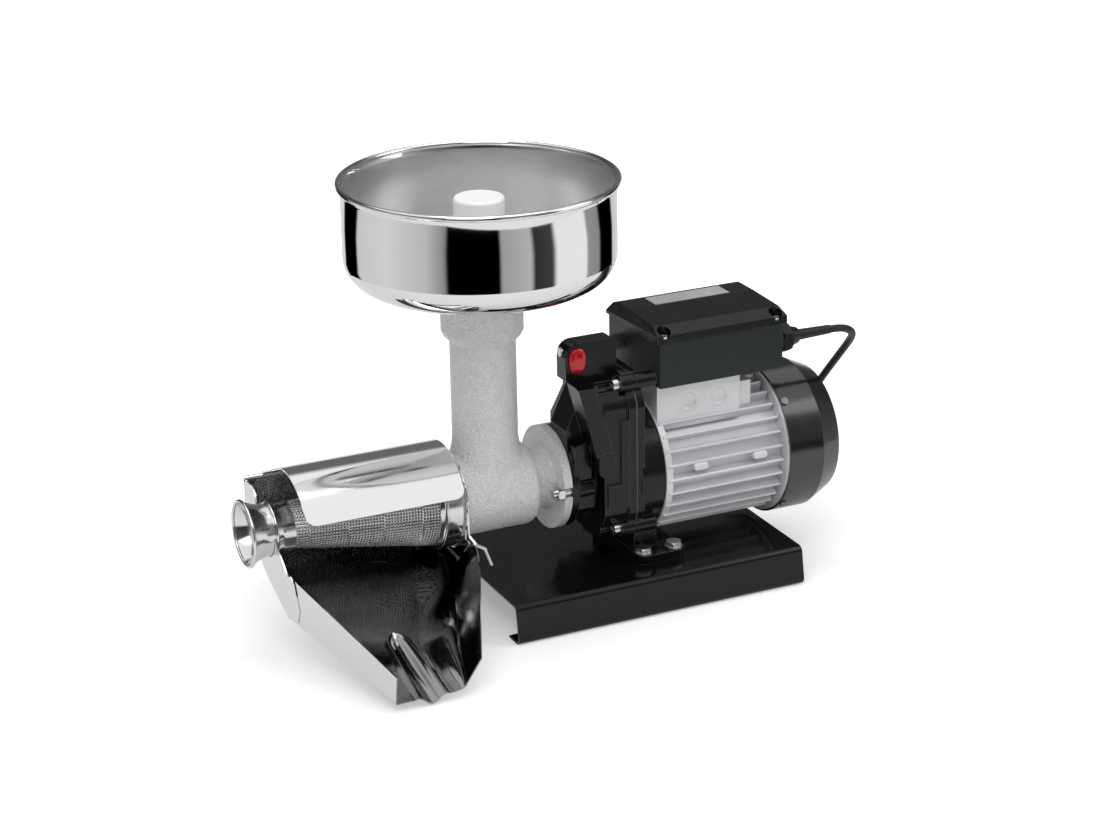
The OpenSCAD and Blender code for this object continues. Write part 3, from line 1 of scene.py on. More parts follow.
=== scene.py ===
"""Electric tomato press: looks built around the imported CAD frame.

Blender works in metres, +Z up, in the row frame. Sizes of pieces are millimetres, measured from the feed
tube's axis and the floor as in the part's source, and P() takes them to the row frame.
"""
import math

import bpy
import bmesh
from mathutils import Matrix, Vector


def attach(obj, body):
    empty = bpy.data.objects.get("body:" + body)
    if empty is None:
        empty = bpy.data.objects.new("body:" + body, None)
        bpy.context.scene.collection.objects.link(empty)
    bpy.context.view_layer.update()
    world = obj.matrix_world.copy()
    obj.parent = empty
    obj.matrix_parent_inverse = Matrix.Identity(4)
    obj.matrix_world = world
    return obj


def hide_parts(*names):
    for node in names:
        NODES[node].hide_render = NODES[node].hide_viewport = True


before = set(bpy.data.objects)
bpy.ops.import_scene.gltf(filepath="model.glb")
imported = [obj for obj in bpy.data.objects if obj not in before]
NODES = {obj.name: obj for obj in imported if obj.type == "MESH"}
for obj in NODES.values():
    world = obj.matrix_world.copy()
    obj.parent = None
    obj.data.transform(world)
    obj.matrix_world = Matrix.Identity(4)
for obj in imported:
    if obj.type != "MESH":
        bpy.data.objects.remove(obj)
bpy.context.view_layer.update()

MID = (49.75, -23.68)          # the row's origin in the machine's own millimetres
AXIS_H = 110.0                 # height of the motor axis


def P(x, y, z):
    """Machine millimetres to the row frame in metres."""
    return Vector(((x - MID[0]) / 1000, (y - MID[1]) / 1000, z / 1000))


# ---------------------------------------------------------------- camera and studio

CAM = dict(az=-25.06, el=20.6, roll=-0.95, dist=2.34689, target=(0.01925, 0.02368, 0.17205), lens=86.98,
           sensor=36.0, clip=(0.05, 50))


def make_camera():
    az, el, roll = (math.radians(CAM[k]) for k in ("az", "el", "roll"))
    back = Vector((math.sin(az) * math.cos(el), -math.cos(az) * math.cos(el), math.sin(el)))
    level_right = (-back).cross(Vector((0, 0, 1))).normalized()
    level_up = level_right.cross(-back)
    right = level_right * math.cos(roll) + level_up * math.sin(roll)
    up = level_up * math.cos(roll) - level_right * math.sin(roll)
    data = bpy.data.cameras.new("camera")
    data.sensor_width, data.lens = CAM["sensor"], CAM["lens"]
    data.clip_start, data.clip_end = CAM["clip"]
    cam = bpy.data.objects.new("camera", data)
    bpy.context.collection.objects.link(cam)
    m = Matrix((right, up, back)).transposed().to_4x4()
    m.translation = Vector(CAM["target"]) + back * CAM["dist"]
    cam.matrix_world = m
    bpy.context.scene.camera = cam


class Nodes:
    """Short form for building a node tree."""

    def __init__(self, tree):
        self.t = tree
        tree.nodes.clear()

    def add(self, kind, inputs=(), **props):
        n = self.t.nodes.new(kind)
        for k, v in props.items():
            setattr(n, k, v)
        for k, v in dict(inputs).items():
            self.put(n, k, v)
        return n

    def put(self, n, key, v):
        s = n.inputs[key]
        if isinstance(v, bpy.types.NodeSocket):
            self.t.links.new(v, s)
        else:
            s.default_value = v

    def math(self, op, a, b=0.0, c=None):
        n = self.add("ShaderNodeMath", {0: a, 1: b}, operation=op)
        if c is not None:
            self.put(n, 2, c)
        return n.outputs[0]

    def mix(self, fac, a, b):
        """Colours a and b mixed by fac."""
        return self.add("ShaderNodeMix", {0: fac, 6: a, 7: b}, data_type="RGBA").outputs[2]

    def mix_shader(self, fac, a, b):
        return self.add("ShaderNodeMixShader", {0: fac, 1: a.outputs[0], 2: b.outputs[0]})

    def ramp(self, fac, stops):
        """Colour ramp over (position, colour) stops; a colour is three numbers, or one for a grey."""
        n = self.add("ShaderNodeValToRGB", {"Fac": fac})
        e = n.color_ramp.elements
        while len(e) < len(stops):
            e.new(0.5)
        for i, (p, c) in enumerate(stops):
            e[i].position = p
            e[i].color = (*c, 1) if isinstance(c, tuple) else (c, c, c, 1)
        return n.outputs["Color"]


WHITE = (1, 1, 1, 1)
# What polished steel sees by bearing, as (turn, brightness), with the camera's own side at 0.5. At the
# machine's height it sees dark flags and bright panels, above them a dark room with soft grey patches,
# and overhead a large softbox.
BANDS = [(0.0, .78), (.080, .78), (.088, .0), (.158, .0), (.166, .72), (.27, .8), (.375, .62), (.42, .32),
         (.43, .0), (.547, .0), (.555, .42), (.622, .55), (.632, .035), (.678, .06), (.69, 1.0), (.778, 1.0),
         (.786, .35), (.828, .3), (.837, .0), (.90, .0), (.91, .7), (1.0, .78)]
ROOM = [(0, .16), (.12, .05), (.3, .3), (.42, .12), (.5, .03), (.62, .2), (.74, .55), (.85, .12), (1, .16)]
# Where one gives way to the next, by height, from 0 straight down to 1 straight up
BANDS_END = [(.49, 0), (.53, 1)]
ROOM_END = [(.80, 0), (.86, 1)]
SOFT_STRENGTH = 0.62           # light that the world gives to dull surfaces


def make_world():
    world = bpy.data.worlds.new("studio")
    bpy.context.scene.world = world
    world.use_nodes = True
    n = Nodes(world.node_tree)
    way = n.add("ShaderNodeTexCoord").outputs["Generated"]
    xyz = n.add("ShaderNodeSeparateXYZ", {0: way}).outputs
    bearing = n.math("ARCTAN2", xyz[1], xyz[0])
    turn = n.math("FRACT", n.math("ADD", n.math("DIVIDE", bearing, 2 * math.pi), (90 - CAM["az"]) / 360 + 0.5))
    rise = n.math("MULTIPLY_ADD", xyz[2], 0.5, 0.5)
    around = n.mix(n.ramp(rise, BANDS_END), n.ramp(turn, BANDS), n.ramp(turn, ROOM))
    studio = n.mix(n.ramp(rise, ROOM_END), around, WHITE)
    path = n.add("ShaderNodeLightPath").outputs
    shiny = n.add("ShaderNodeBackground", {"Color": studio, "Strength": 1.0})
    soft = n.add("ShaderNodeBackground", {"Color": WHITE, "Strength": SOFT_STRENGTH})
    white = n.add("ShaderNodeBackground", {"Color": WHITE, "Strength": 1.0})
    seen = n.mix_shader(path["Is Glossy Ray"], soft, shiny)
    out = n.mix_shader(path["Is Camera Ray"], seen, white)
    n.add("ShaderNodeOutputWorld", {0: out.outputs[0]})


FLOOR_REACH = 9                # half the floor's side
PAPER = [(0, .90), (1, .93)]
# The camera sees the floor turn to white between these distances from the origin
GLOW_FROM, GLOW_TO, GLOW_LOW, GLOW_HIGH = 0.35, 1.3, 0.27, 1.0
MIRRORED_REACH = 0.78          # the metal sees no floor further out than this


def make_floor():
    me = bpy.data.meshes.new("floor")
    me.from_pydata([(x * FLOOR_REACH, y * FLOOR_REACH, 0) for x, y in ((-1, -1), (1, -1), (1, 1), (-1, 1))], [],
                   [(0, 1, 2, 3)])
    floor = bpy.data.objects.new("floor", me)
    bpy.context.collection.objects.link(floor)
    mat = bpy.data.materials.new("floor_paper")
    mat.use_nodes = True
    n = Nodes(mat.node_tree)
    pos = n.add("ShaderNodeNewGeometry").outputs["Position"]
    far = n.add("ShaderNodeVectorMath", {0: pos, 1: (0, 0, 0)}, operation="DISTANCE").outputs["Value"]
    path = n.add("ShaderNodeLightPath").outputs
    grain = n.add("ShaderNodeTexNoise", {"Scale": 60.0, "Vector": pos}).outputs[0]
    paper = n.add("ShaderNodeBsdfDiffuse", {"Color": n.ramp(grain, PAPER)})
    strength = n.add("ShaderNodeMapRange", {"Value": far, 1: GLOW_FROM, 2: GLOW_TO, 3: GLOW_LOW, 4: GLOW_HIGH})
    glow = n.add("ShaderNodeEmission", {"Color": WHITE, "Strength": strength.outputs[0]})
    lit = n.add("ShaderNodeAddShader", {0: paper.outputs[0], 1: glow.outputs[0]})
    camera_lit = n.mix_shader(path["Is Camera Ray"], paper, lit)
    gone = n.add("ShaderNodeBsdfTransparent")
    away = n.math("MULTIPLY", path["Is Glossy Ray"], n.math("GREATER_THAN", far, MIRRORED_REACH))
    out = n.mix_shader(away, camera_lit, gone)
    n.add("ShaderNodeOutputMaterial", {0: out.outputs[0]})
    me.materials.append(mat)


# Name, place, point that it faces, size and power
LAMPS = [("key", (-0.9, -1.3, 1.9), (0, 0, 0.15), (1.2, 1.2), 14),
         ("top", (0.1, 0.1, 2.2), (0, 0, 0.3), (1.4, 1.0), 9),
         ("fill", (1.4, -0.8, 1.2), (0, 0, 0.15), (1.0, 1.0), 5)]


def make_lamp(name, place, at, size, power):
    data = bpy.data.lights.new(name, "AREA")
    data.shape, data.size, data.size_y, data.energy = "RECTANGLE", size[0], size[1], power
    lamp = bpy.data.objects.new(name, data)
    bpy.context.collection.objects.link(lamp)
    lamp.location = place
    lamp.rotation_mode = "QUATERNION"
    lamp.rotation_quaternion = (Vector(at) - Vector(place)).to_track_quat("-Z", "Y")


# ---------------------------------------------------------------- materials

COAT_ROUGHNESS = 0.08
PAINTED_HIGHLIGHT_ANGLE = [(.72, 1), (.97, 0)]       # cosine between the true and the rounded normal, where the painted edge highlight lightens the colour


def surface(name, colours, rough, metal=0.0, scale=40.0, bump=0.0, bump_scale=400.0, stretch=(1, 1, 1), coat=0.0,
            ior=1.5, edge=0.0, fine=None, rim=None, level=.5):
    """Principled material in metres.

    A noise of the given scale and stretch spreads the colours and roughness. bump is the height of a second
    noise, with cells of scale `fine` over it; edge is the radius of rounded edges, and rim the colour of a
    painted highlight laid along them.
    """
    mat = bpy.data.materials.new(name)
    mat.use_nodes = True
    n = Nodes(mat.node_tree)
    at = n.add("ShaderNodeTexCoord").outputs["Object"]
    spread = n.add("ShaderNodeMapping", {"Vector": at, "Scale": stretch}).outputs[0]
    cloud = n.add("ShaderNodeTexNoise", {"Vector": spread, "Scale": scale, "Detail": 4.0,
                                         "Roughness": 0.6}).outputs[0]
    colour = n.ramp(cloud, [(i / (len(colours) - 1), c) for i, c in enumerate(colours)])
    shine = n.add("ShaderNodeMapRange", {"Value": cloud, 1: 0.25, 2: 0.75, 3: rough[0], 4: rough[1]}).outputs[0]
    # Painted highlight: along edges, where the rounded normal turns away from the true one, the colour goes over
    # to rim
    if rim:
        soft = n.add("ShaderNodeBevel", {"Radius": edge}, samples=6).outputs[0]
        flat = n.add("ShaderNodeNewGeometry").outputs["Normal"]
        same = n.add("ShaderNodeVectorMath", {0: soft, 1: flat}, operation="DOT_PRODUCT").outputs["Value"]
        colour = n.mix(n.ramp(same, PAINTED_HIGHLIGHT_ANGLE), colour, (*rim, 1))
    b = n.add("ShaderNodeBsdfPrincipled", {"Base Color": colour, "Roughness": shine, "Metallic": metal, "IOR": ior,
                                           "Specular IOR Level": level})
    if coat:
        b.inputs["Coat Weight"].default_value = coat
        b.inputs["Coat Roughness"].default_value = COAT_ROUGHNESS
    normal = None
    if edge:
        normal = n.add("ShaderNodeBevel", {"Radius": edge}, samples=4).outputs[0]
    if bump:
        height = n.add("ShaderNodeTexNoise", {"Vector": spread, "Scale": bump_scale, "Detail": 3.0}).outputs[0]
        if fine:
            grain = n.add("ShaderNodeTexVoronoi", {"Vector": at, "Scale": fine}).outputs["Distance"]
            height = n.math("MULTIPLY_ADD", grain, 0.7, height)
        args = {"Height": height, "Distance": bump, "Strength": 1.0}
        if normal:
            args["Normal"] = normal
        normal = n.add("ShaderNodeBump", args).outputs[0]
    if normal:
        n.put(b, "Normal", normal)
    n.add("ShaderNodeOutputMaterial", {0: b.outputs[0]})
    return mat


def make_materials():
    return {
        "polished": surface("polished_steel", [(.72, .72, .73), .80], (.03, .06), 1, 14, bump=.00002,
                            bump_scale=22, stretch=(1, 1, 1.6)),
        "satin": surface("satin_steel", [.66, .80], (.28, .38), 1, 60, bump=.00002, bump_scale=900,
                         stretch=(1, 1, 6)),
        "soft_steel": surface("drawn_steel", [(.66, .66, .67), .78], (.12, .20), 1, 30, bump=.00003,
                              bump_scale=60, stretch=(3, 1, 1)),
        "guard_steel": surface("guard_steel", [.78, .86], (.08, .14), 1, 20, bump=.00003, bump_scale=30,
                               stretch=(.4, 1, 1)),
        "cone_steel": surface("perforated_steel", [(.70, .70, .71), .84], (.14, .22), 1, 45),
        "tray_steel": surface("tray_steel", [.70, .80], (.06, .12), 1, 12, bump=.00004, bump_scale=30),
        # Darker copy of the tray's steel for its inside: painted shade and painted dark reflection
        "tray_inside_painted_shade": surface("tray_inside_painted_shade", [(.26, .27, .26), (.36, .37, .36)], (.06, .12), 1, 12,
                               bump=.00006, bump_scale=40),
        "cast": surface("sand_cast_aluminium", [(.62, .62, .64), (.84, .84, .86), (.97, .97, .98)], (.34, .56),
                        .35, 420, bump=.0018, bump_scale=480, fine=800, edge=.001),
        "fins": surface("finned_aluminium", [(.60, .60, .62), (.74, .74, .76)], (.36, .46), .35, 30,
                        edge=.0004),
        # The black finishes below carry a painted highlight along their edges in their rim colour
        "enamel": surface("black_enamel", [(.0025, .003, .0025), (.004, .005, .004)], (.10, .20), 0, 20,
                          bump=.00004, bump_scale=160, edge=.0010, rim=(.10, .105, .10), level=.32),
        "painted_cast": surface("painted_casting", [(.0025, .003, .0025), (.0045, .005, .0045)], (.14, .24),
                                0, 30, bump=.0002, bump_scale=240, edge=.0012, rim=(.075, .078, .075),
                                level=.34),
        "cover": surface("fan_cover_paint", [(.003, .004, .0035), (.005, .007, .006)], (.12, .20), 0, 30,
                         bump=.00005, bump_scale=240, edge=.0012, rim=(.05, .052, .05), level=.9),
        "plastic": surface("black_plastic", [.003, .005], (.20, .30), 0, 60, bump=.00004, bump_scale=900,
                           edge=.0008, rim=(.045, .048, .046), level=.32),
        "box_plastic": surface("box_plastic", [(.011, .016, .013), (.015, .021, .017)], (.26, .36), 0, 60,
                               bump=.00004, bump_scale=900, edge=.0008, rim=(.05, .055, .05), level=.3),
        "rubber": surface("black_rubber", [.008, .014], (.4, .55), 0, 80, bump=.00008, bump_scale=700,
                          ior=1.4),
        "gasket": surface("gasket_paper", [(.16, .14, .10), (.24, .21, .16)], (.7, .85), 0, 120),
        "red": surface("red_button", [(.34, .001, .006), (.46, .002, .010)], (.10, .16), 0, 40, coat=.3,
                       edge=.0006),
        "white": surface("white_plastic", [(.93, .93, .92), (.97, .97, .96)], (.32, .42), 0, 40,
                         bump=.00005, bump_scale=300, edge=.0008),
        "zinc": surface("zinc_steel", [(.62, .62, .61), (.82, .82, .81)], (.18, .34), 1, 120, bump=.00004,
                        bump_scale=500, edge=.0004),
        # Zinc made rougher and coloured darker: painted shade that keeps the fan cover's screws from glinting
        "zinc_painted_shade": surface("zinc_painted_shade", [.16, .26], (.35, .5), .9, 120, edge=.0004),
        "ground": surface("ground_steel", [(.50, .50, .52), (.64, .64, .66)], (.2, .32), 1, 200,
                          stretch=(6, 1, 1), edge=.0003),
        "core": surface("laminated_core", [(.20, .20, .21), (.34, .34, .35)], (.35, .5), 1, 60,
                        stretch=(30, 1, 1)),
        "bronze": surface("bronze", [(.52, .36, .17), (.66, .47, .24)], (.25, .4), 1, 90),
        "copper": surface("copper_winding", [(.45, .16, .07), (.62, .26, .12)], (.3, .45), .8, 300,
                          bump=.0003, bump_scale=500),
        "beige": surface("beige_plastic", [(.60, .54, .42), (.70, .64, .52)], (.5, .6), 0, 60),
        "can": surface("capacitor_can", [(.66, .66, .65), (.78, .78, .77)], (.3, .4), .9, 50),
        "label": surface("bare_label", [(.42, .44, .44), (.54, .55, .55)], (.3, .45), .3, 50),
    }


NODE_LOOKS = {
    "enamel": ["base_plate"],
    "painted_cast": ["gear_case", "drive_shield"],
    "cover": ["fan_cover"],
    "box_plastic": ["terminal_box"],
    "cast": ["press_body"],
    "fins": ["stator_housing", "rear_shield"],
    "polished": ["strainer_cone", "strainer_spout", "strainer_collar", "drip_tray", "splash_guard",
                 "retaining_spring", "hopper"],
    "plastic": ["motor_fan", "box_lid", "gland_body", "gland_nut", "switch_box"],
    "rubber": ["shaft_seal", "box_gasket", "cable_boot", "power_cord", "power_cord_coil", "power_plug"],
    "gasket": ["case_gasket"],
    "red": ["switch_button"],
    "white": ["pusher", "auger"],
    "zinc": ["base_bolts", "base_nuts", "clamp_studs", "clamp_nuts", "case_screws", "lid_screws",
             "switch_screws"],
    "zinc_painted_shade": ["cover_screws"],
    "ground": ["output_bearings", "output_shaft", "output_gear", "layshaft", "lay_gear", "motor_shaft",
               "motor_bearings", "button_spring"],
    "core": ["stator_core", "rotor_core"],
    "bronze": ["lay_bushes", "plug_pins"],
    "copper": ["stator_windings"],
    "beige": ["terminal_block", "switch_contacts"],
    "can": ["capacitor"],
}


def dress_nodes(mats):
    for look, names in NODE_LOOKS.items():
        for name in names:
            o = NODES[name]
            o.data.materials.clear()
            o.data.materials.append(mats[look])


# ---------------------------------------------------------------- mesh helpers

WELD = 1e-6                    # points this close are one


def piece(name, verts, faces, mat, body, replaces=(), slot=None, smooth=True):
    me = bpy.data.meshes.new(name)
    me.from_pydata([tuple(v) for v in verts], [], faces)
    me.validate()
    me.update()
    if smooth:
        me.polygons.foreach_set("use_smooth", [True] * len(me.polygons))
    me.materials.append(mat)
    o = bpy.data.objects.new(name, me)
    bpy.context.collection.objects.link(o)
    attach(o, body)
    if replaces:
        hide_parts(*replaces)
    return o


def fix_normals(o):
    """Close points welded, and every face turned outward."""
    bm = bmesh.new()
    bm.from_mesh(o.data)
    bmesh.ops.remove_doubles(bm, verts=bm.verts, dist=WELD)
    bmesh.ops.recalc_face_normals(bm, faces=bm.faces)
    bm.to_mesh(o.data)
    bm.free()


def crisp(o, angle):
    """Smooth shading with the edges above an angle kept sharp."""
    mod = o.modifiers.new("creases", "EDGE_SPLIT")
    mod.split_angle = math.radians(angle)


def thicken(o, t, offset):
    """A sheet t thick; offset is -1 with the points on its outside and 0 in its middle."""
    mod = o.modifiers.new("sheet", "SOLIDIFY")
    mod.thickness, mod.offset = t / 1000, offset
    return mod


def turned(degrees):
    return math.cos(math.radians(degrees)), math.sin(math.radians(degrees))


def clamp(v):
    return max(0, min(1, v))


def beside(path, d):
    """An open path moved sideways by d."""
    out = []
    for i, p in enumerate(path):
        a, b = path[max(i - 1, 0)], path[min(i + 1, len(path) - 1)]
        t = Vector((b[0] - a[0], b[1] - a[1])).normalized()
        half = 1
        if 0 < i < len(path) - 1:
            half = max(0.5, t.dot(Vector((p[0] - a[0], p[1] - a[1])).normalized()))
        out.append((p[0] - t.y * d / half, p[1] + t.x * d / half))
    return out


def sheet(path, t):
    """Closed outline of a sheet t thick along a path."""
    return beside(path, t / 2) + beside(path, -t / 2)[::-1]


def arc(c, r, a0, a1, n):
    """Points round c from a0 to a1 degrees, in n steps."""
    return [(c[0] + r * math.cos(math.radians(a0 + (a1 - a0) * i / n)),
             c[1] + r * math.sin(math.radians(a0 + (a1 - a0) * i / n))) for i in range(n + 1)]


def circle(c, r, n=16):
    return arc(c, r, 0, 360, n)[:-1]


def rounded(c, half, r, n):
    """Rectangle with rounded corners round c, from its lower left; half goes to the corners' centres."""
    corners = ((-1, -1, 180), (1, -1, 270), (1, 1, 360), (-1, 1, 450))
    return [p for u, v, a in corners for p in arc((c[0] + u * half[0], c[1] + v * half[1]), r, a, a + 90, n)]


def band(a, b, n):
    """Faces between two closed rows of n points that start at a and b."""
    return [(a + i, a + (i + 1) % n, b + (i + 1) % n, b + i) for i in range(n)]


def grid(rows, cols, start=0):
    """Faces over rows of cols points."""
    corners = (start + i * cols + j for i in range(rows - 1) for j in range(cols - 1))
    return [(a, a + 1, a + cols + 1, a + cols) for a in corners]


def loft(rows, first=True, last=True, ring=False):
    """Vertices and faces over closed rows with as many points each, ended by faces or closed to a ring."""
    n, count = len(rows[0]), len(rows)
    faces = [f for q in range(count - 1) for f in band(q * n, (q + 1) * n, n)]
    if ring:
        faces += band((count - 1) * n, 0, n)
    if first and not ring:
        faces.append(tuple(range(n)))
    if last and not ring:
        faces.append(tuple(range((count - 1) * n, count * n)))
    return [p for row in rows for p in row], faces


def merge(parts):
    """Parts of (vertices, faces) as one."""
    verts, faces = [], []
    for v, f in parts:
        faces += [tuple(i + len(verts) for i in q) for q in f]
        verts += v
    return verts, faces


def lathe(outlines, place, steps=192):
    """Closed outlines of (radius, along) turned about an axis; place(radius, along, turn) gives the point."""
    turns = [2 * math.pi * i / steps for i in range(steps)]
    return merge(loft([[place(r, h, turn) for r, h in outline] for turn in turns], ring=True)
                 for outline in outlines)


def about_x(r, x, turn):
    return P(x, r * math.cos(turn), AXIS_H + r * math.sin(turn))


def about_z(r, z, turn):
    return P(r * math.cos(turn), r * math.sin(turn), z)


# ---------------------------------------------------------------- mains lead

# The same points as in the part's source: out of the boot, down behind the fan cover and onto the floor
ROUTE = [(290, -32, 213), (303, -32, 213), (325, -32, 213), (338, -31, 212), (349, -27, 207),
         (357, -19, 199), (361, -7, 189), (362, 7, 175), (362, 21, 160), (360, 36, 142), (357, 50, 122),
         (353, 63, 101), (348, 76, 80), (341, 88, 60), (332, 99, 42), (321, 109, 27), (311, 119, 14),
         (304, 130, 6.5), (301, 142, 4)]
TAIL = [(246, 191.5, 13), (240, 190, 16.5), (234, 189, 19)]       # from the coil to the plug
COIL_MID, COIL_R, TURN_GAP, LAYER = (251, 150), (43.4, 29.2), 7.1, (4.0, 11.2)
COIL_START_R = 50              # where the lead runs in
# Degrees: end of the way in, start and end of the climb to the second layer, end of the coil, and a step
RUN_IN, CLIMB, ON_TOP, COIL_END, COIL_STEP = 90, 810, 1170, 1890, 15
CORD_D = 7.0


def coil_points():
    """Spiral in along the floor, one round on the inside, then spiral out on top to the plug."""
    out = []
    for a in range(0, COIL_END + 1, COIL_STEP):
        if a < RUN_IN:
            r = COIL_START_R - (COIL_START_R - COIL_R[0]) * (1 - math.cos(math.radians(2 * a))) / 2
        elif a < CLIMB:
            r = COIL_R[0] - TURN_GAP * (a - RUN_IN) / 360
        elif a < ON_TOP:
            r = COIL_R[1] - math.sin(math.radians((a - CLIMB) / 2))
        else:
            r = COIL_R[1] + TURN_GAP * (a - ON_TOP) / 360
        c, s = turned(a)
        up = clamp((a - CLIMB) / (ON_TOP - CLIMB))
        out.append((COIL_MID[0] + r * c, COIL_MID[1] + r * s, LAYER[0] + (LAYER[1] - LAYER[0]) * up))
    return out


def make_tie(mats):
    """Strap round the coil's turns."""
    bearing, half_width, mid = 225, 3.5, (34.5, 7.7)
    inner = rounded((mid[0], 7.8), (7.5, 4.8), 2.6, 4)
    outer = [(mid[0] + (r - mid[0]) * 1.09, mid[1] + (z - mid[1]) * (1.03 if z < mid[1] else 1.12))
             for r, z in inner]
    out = Vector(turned(bearing))
    along = Vector((-out.y, out.x))

    def row(loop, w):
        flat = [Vector(COIL_MID) + out * r + along * w for r, _ in loop]
        return [P(q.x, q.y, z) for q, (_, z) in zip(flat, loop)]

    rows = [row(inner, -half_width), row(inner, half_width), row(outer, half_width), row(outer, -half_width)]
    o = piece("coil_tie", *loft(rows, ring=True), mats["rubber"], "machine", [], "rubber")
    fix_normals(o)
    crisp(o, 40)
    return o


def make_cord(mats):
    curve = bpy.data.curves.new("mains_lead", "CURVE")
    curve.dimensions = "3D"
    curve.bevel_depth = CORD_D / 2000
    curve.bevel_resolution = 4
    curve.use_fill_caps = True
    pts = [P(*p) for p in ROUTE + coil_points() + TAIL]
    s = curve.splines.new("NURBS")
    s.points.add(len(pts) - 1)
    for q, p in zip(s.points, pts):
        q.co = (*p, 1)
    s.order_u, s.use_endpoint_u, s.resolution_u = 4, True, 4
    curve.materials.append(mats["rubber"])
    o = bpy.data.objects.new("mains_lead", curve)
    bpy.context.collection.objects.link(o)
    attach(o, "machine")
    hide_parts("power_cord", "power_cord_coil")
    make_tie(mats)


# ---------------------------------------------------------------- strainer

CONE_X, CONE_R, CONE_T = (-189.0, -55.0), (18.5, 41.0), 0.8
PITCH, HOLE_D, CONE_EDGE = 2.9, 1.7, 5.0          # holes, and the plain edge at both ends


def cone_r(x):
    return CONE_R[0] + (CONE_R[1] - CONE_R[0]) * (x - CONE_X[0]) / (CONE_X[1] - CONE_X[0])


def make_cone(mats):
    """Cone sheet with round holes in staggered rings; each hole sits in a cell of its own."""
    verts, faces = [], []

    def v(x, turn):
        verts.append(about_x(cone_r(x), x, turn))
        return len(verts) - 1

    length = CONE_X[1] - CONE_X[0] - 2 * CONE_EDGE
    rows = int(length / (PITCH * 0.866))
    step = length / rows
    sides = 8
    for k in range(rows):
        xa, xb = CONE_X[0] + CONE_EDGE + step * k, CONE_X[0] + CONE_EDGE + step * (k + 1)
        xm = (xa + xb) / 2
        r = cone_r(xm)
        count = int(2 * math.pi * r / PITCH)
        width = 2 * math.pi / count
        for i in range(count):
            t0 = width * (i + 0.5 * (k % 2))
            t1, tm = t0 + width, t0 + width / 2
            outer = [v(xa, t0), v(xa, tm), v(xa, t1), v(xm, t1), v(xb, t1), v(xb, tm), v(xb, t0), v(xm, t0)]
            inner = []
            for j in range(sides):
                c, s = turned(225 + 45 * j)
                inner.append(v(xm + HOLE_D / 2 * s, tm + HOLE_D / 2 * c / r))
            for j in range(sides):
                faces.append((outer[j], outer[(j + 1) % sides], inner[(j + 1) % sides], inner[j]))
    count = 96
    for xa, xb in ((CONE_X[0], CONE_X[0] + CONE_EDGE), (CONE_X[1] - CONE_EDGE, CONE_X[1])):
        for i in range(count):
            a, b = 2 * math.pi * i / count, 2 * math.pi * (i + 1) / count
            faces.append((v(xa, a), v(xa, b), v(xb, b), v(xb, a)))
    o = piece("strainer_mesh", verts, faces, mats["cone_steel"], "strainer", ["strainer_cone"], "stainless")
    fix_normals(o)
    thicken(o, CONE_T, -1)


def make_spout(mats):
    """Band round the cone's end, bead, neck and flare with a rolled rim."""
    neck_r, flare, flare_from, rim_x, steps = 22.0, 5.6, -204, -222, 12
    path = [(20.2, -183), (20.2, -188), (19.7, -192.5), (20.2, -195), (21.5, -198), (neck_r, -200),
            (neck_r, flare_from)]
    path += [(neck_r + flare * (1 - turned(90 * i / steps)[0]) * 1.02,
              flare_from + (rim_x - flare_from) * i / steps) for i in range(1, steps + 1)]
    outlines = [sheet(path, 1.0), circle((22.5, -200), 1.5), circle((28.0, rim_x), 1.5)]
    o = piece("spout_shell", *lathe(outlines, about_x), mats["soft_steel"], "strainer", ["strainer_spout"],
              "stainless")
    fix_normals(o)
    crisp(o, 50)


def make_collar(mats):
    """Ring that slips over the press body's end, with the step that holds the cone."""
    path = [(40.71, -60), (41.7, -56.6), (42.6, -55.7), (43.5, -55.4), (43.5, -52), (43.5, -40.9)]
    outlines = [sheet(path, 1.0), circle((43.8, -55), 1.2)]
    o = piece("collar_shell", *lathe(outlines, about_x), mats["soft_steel"], "strainer", ["strainer_collar"],
              "stainless")
    fix_normals(o)
    crisp(o, 50)


# ---------------------------------------------------------------- hopper

def make_hopper(mats):
    """Spun bowl: satin inside, mirror outside, with a turned-over bead."""
    neck_r, neck_low, cone_low, cone_r0, r_wall, corner, top = 28.3, 260, 284.8, 36.5, 115.5, 26.0, 387.5
    corner_z = cone_low + 15 + corner
    path = [(neck_r, neck_low), (neck_r, cone_low - 2), (neck_r + 2, cone_low), (cone_r0, cone_low)]
    path += arc((r_wall - corner, corner_z), corner, -82, 0, 24)
    path += [(r_wall, corner_z + 15), (r_wall, corner_z + 30), (r_wall, top - 6), (115.9, top - 4.4),
             (116.9, top - 1.4)]
    verts, faces = lathe([sheet(path, 1.0), circle((117.5, top), 2.5)], about_z, 256)
    o = piece("hopper_shell", verts, faces, mats["polished"], "hopper", ["hopper"], "stainless")
    fix_normals(o)
    o.data.materials.append(mats["satin"])
    centre = P(0, 0, 0)
    for f in o.data.polygons:
        # Inner faces look at the axis, or up where the bowl is shallow
        out = f.normal.dot(Vector((f.center.x - centre.x, f.center.y - centre.y, 0)).normalized())
        if f.center.z * 1000 < top - 3 and out < 0.3 and f.normal.z > (0.7 if out > 0 else -0.3):
            f.material_index = 1
    crisp(o, 50)


# ---------------------------------------------------------------- drip tray

TRAY_L, TRAY_R, FOLD_Y, LIP_Y, BACK_Y, TRAY_TOP = -202.1, -38.2, -48.0, -163.0, 50.0, 138.0
TRAY_T, HEM_R = 1.2, 2.5       # sheet, and the rolled edge along the back
LIP_L = -155.1                 # left end of the lip

# The tray's section along y, from the lip to the back: straight runs ...
WALL_X = [(LIP_Y, LIP_L), (FOLD_Y, TRAY_L), (BACK_Y, TRAY_L)]
WALL_Z = [(LIP_Y, 8.5), (FOLD_Y, 48), (0, 66), (BACK_Y, 96)]
WALL_H = [(LIP_Y, 26), (FOLD_Y, 40), (FOLD_Y + 6, 12), (BACK_Y, 8)]
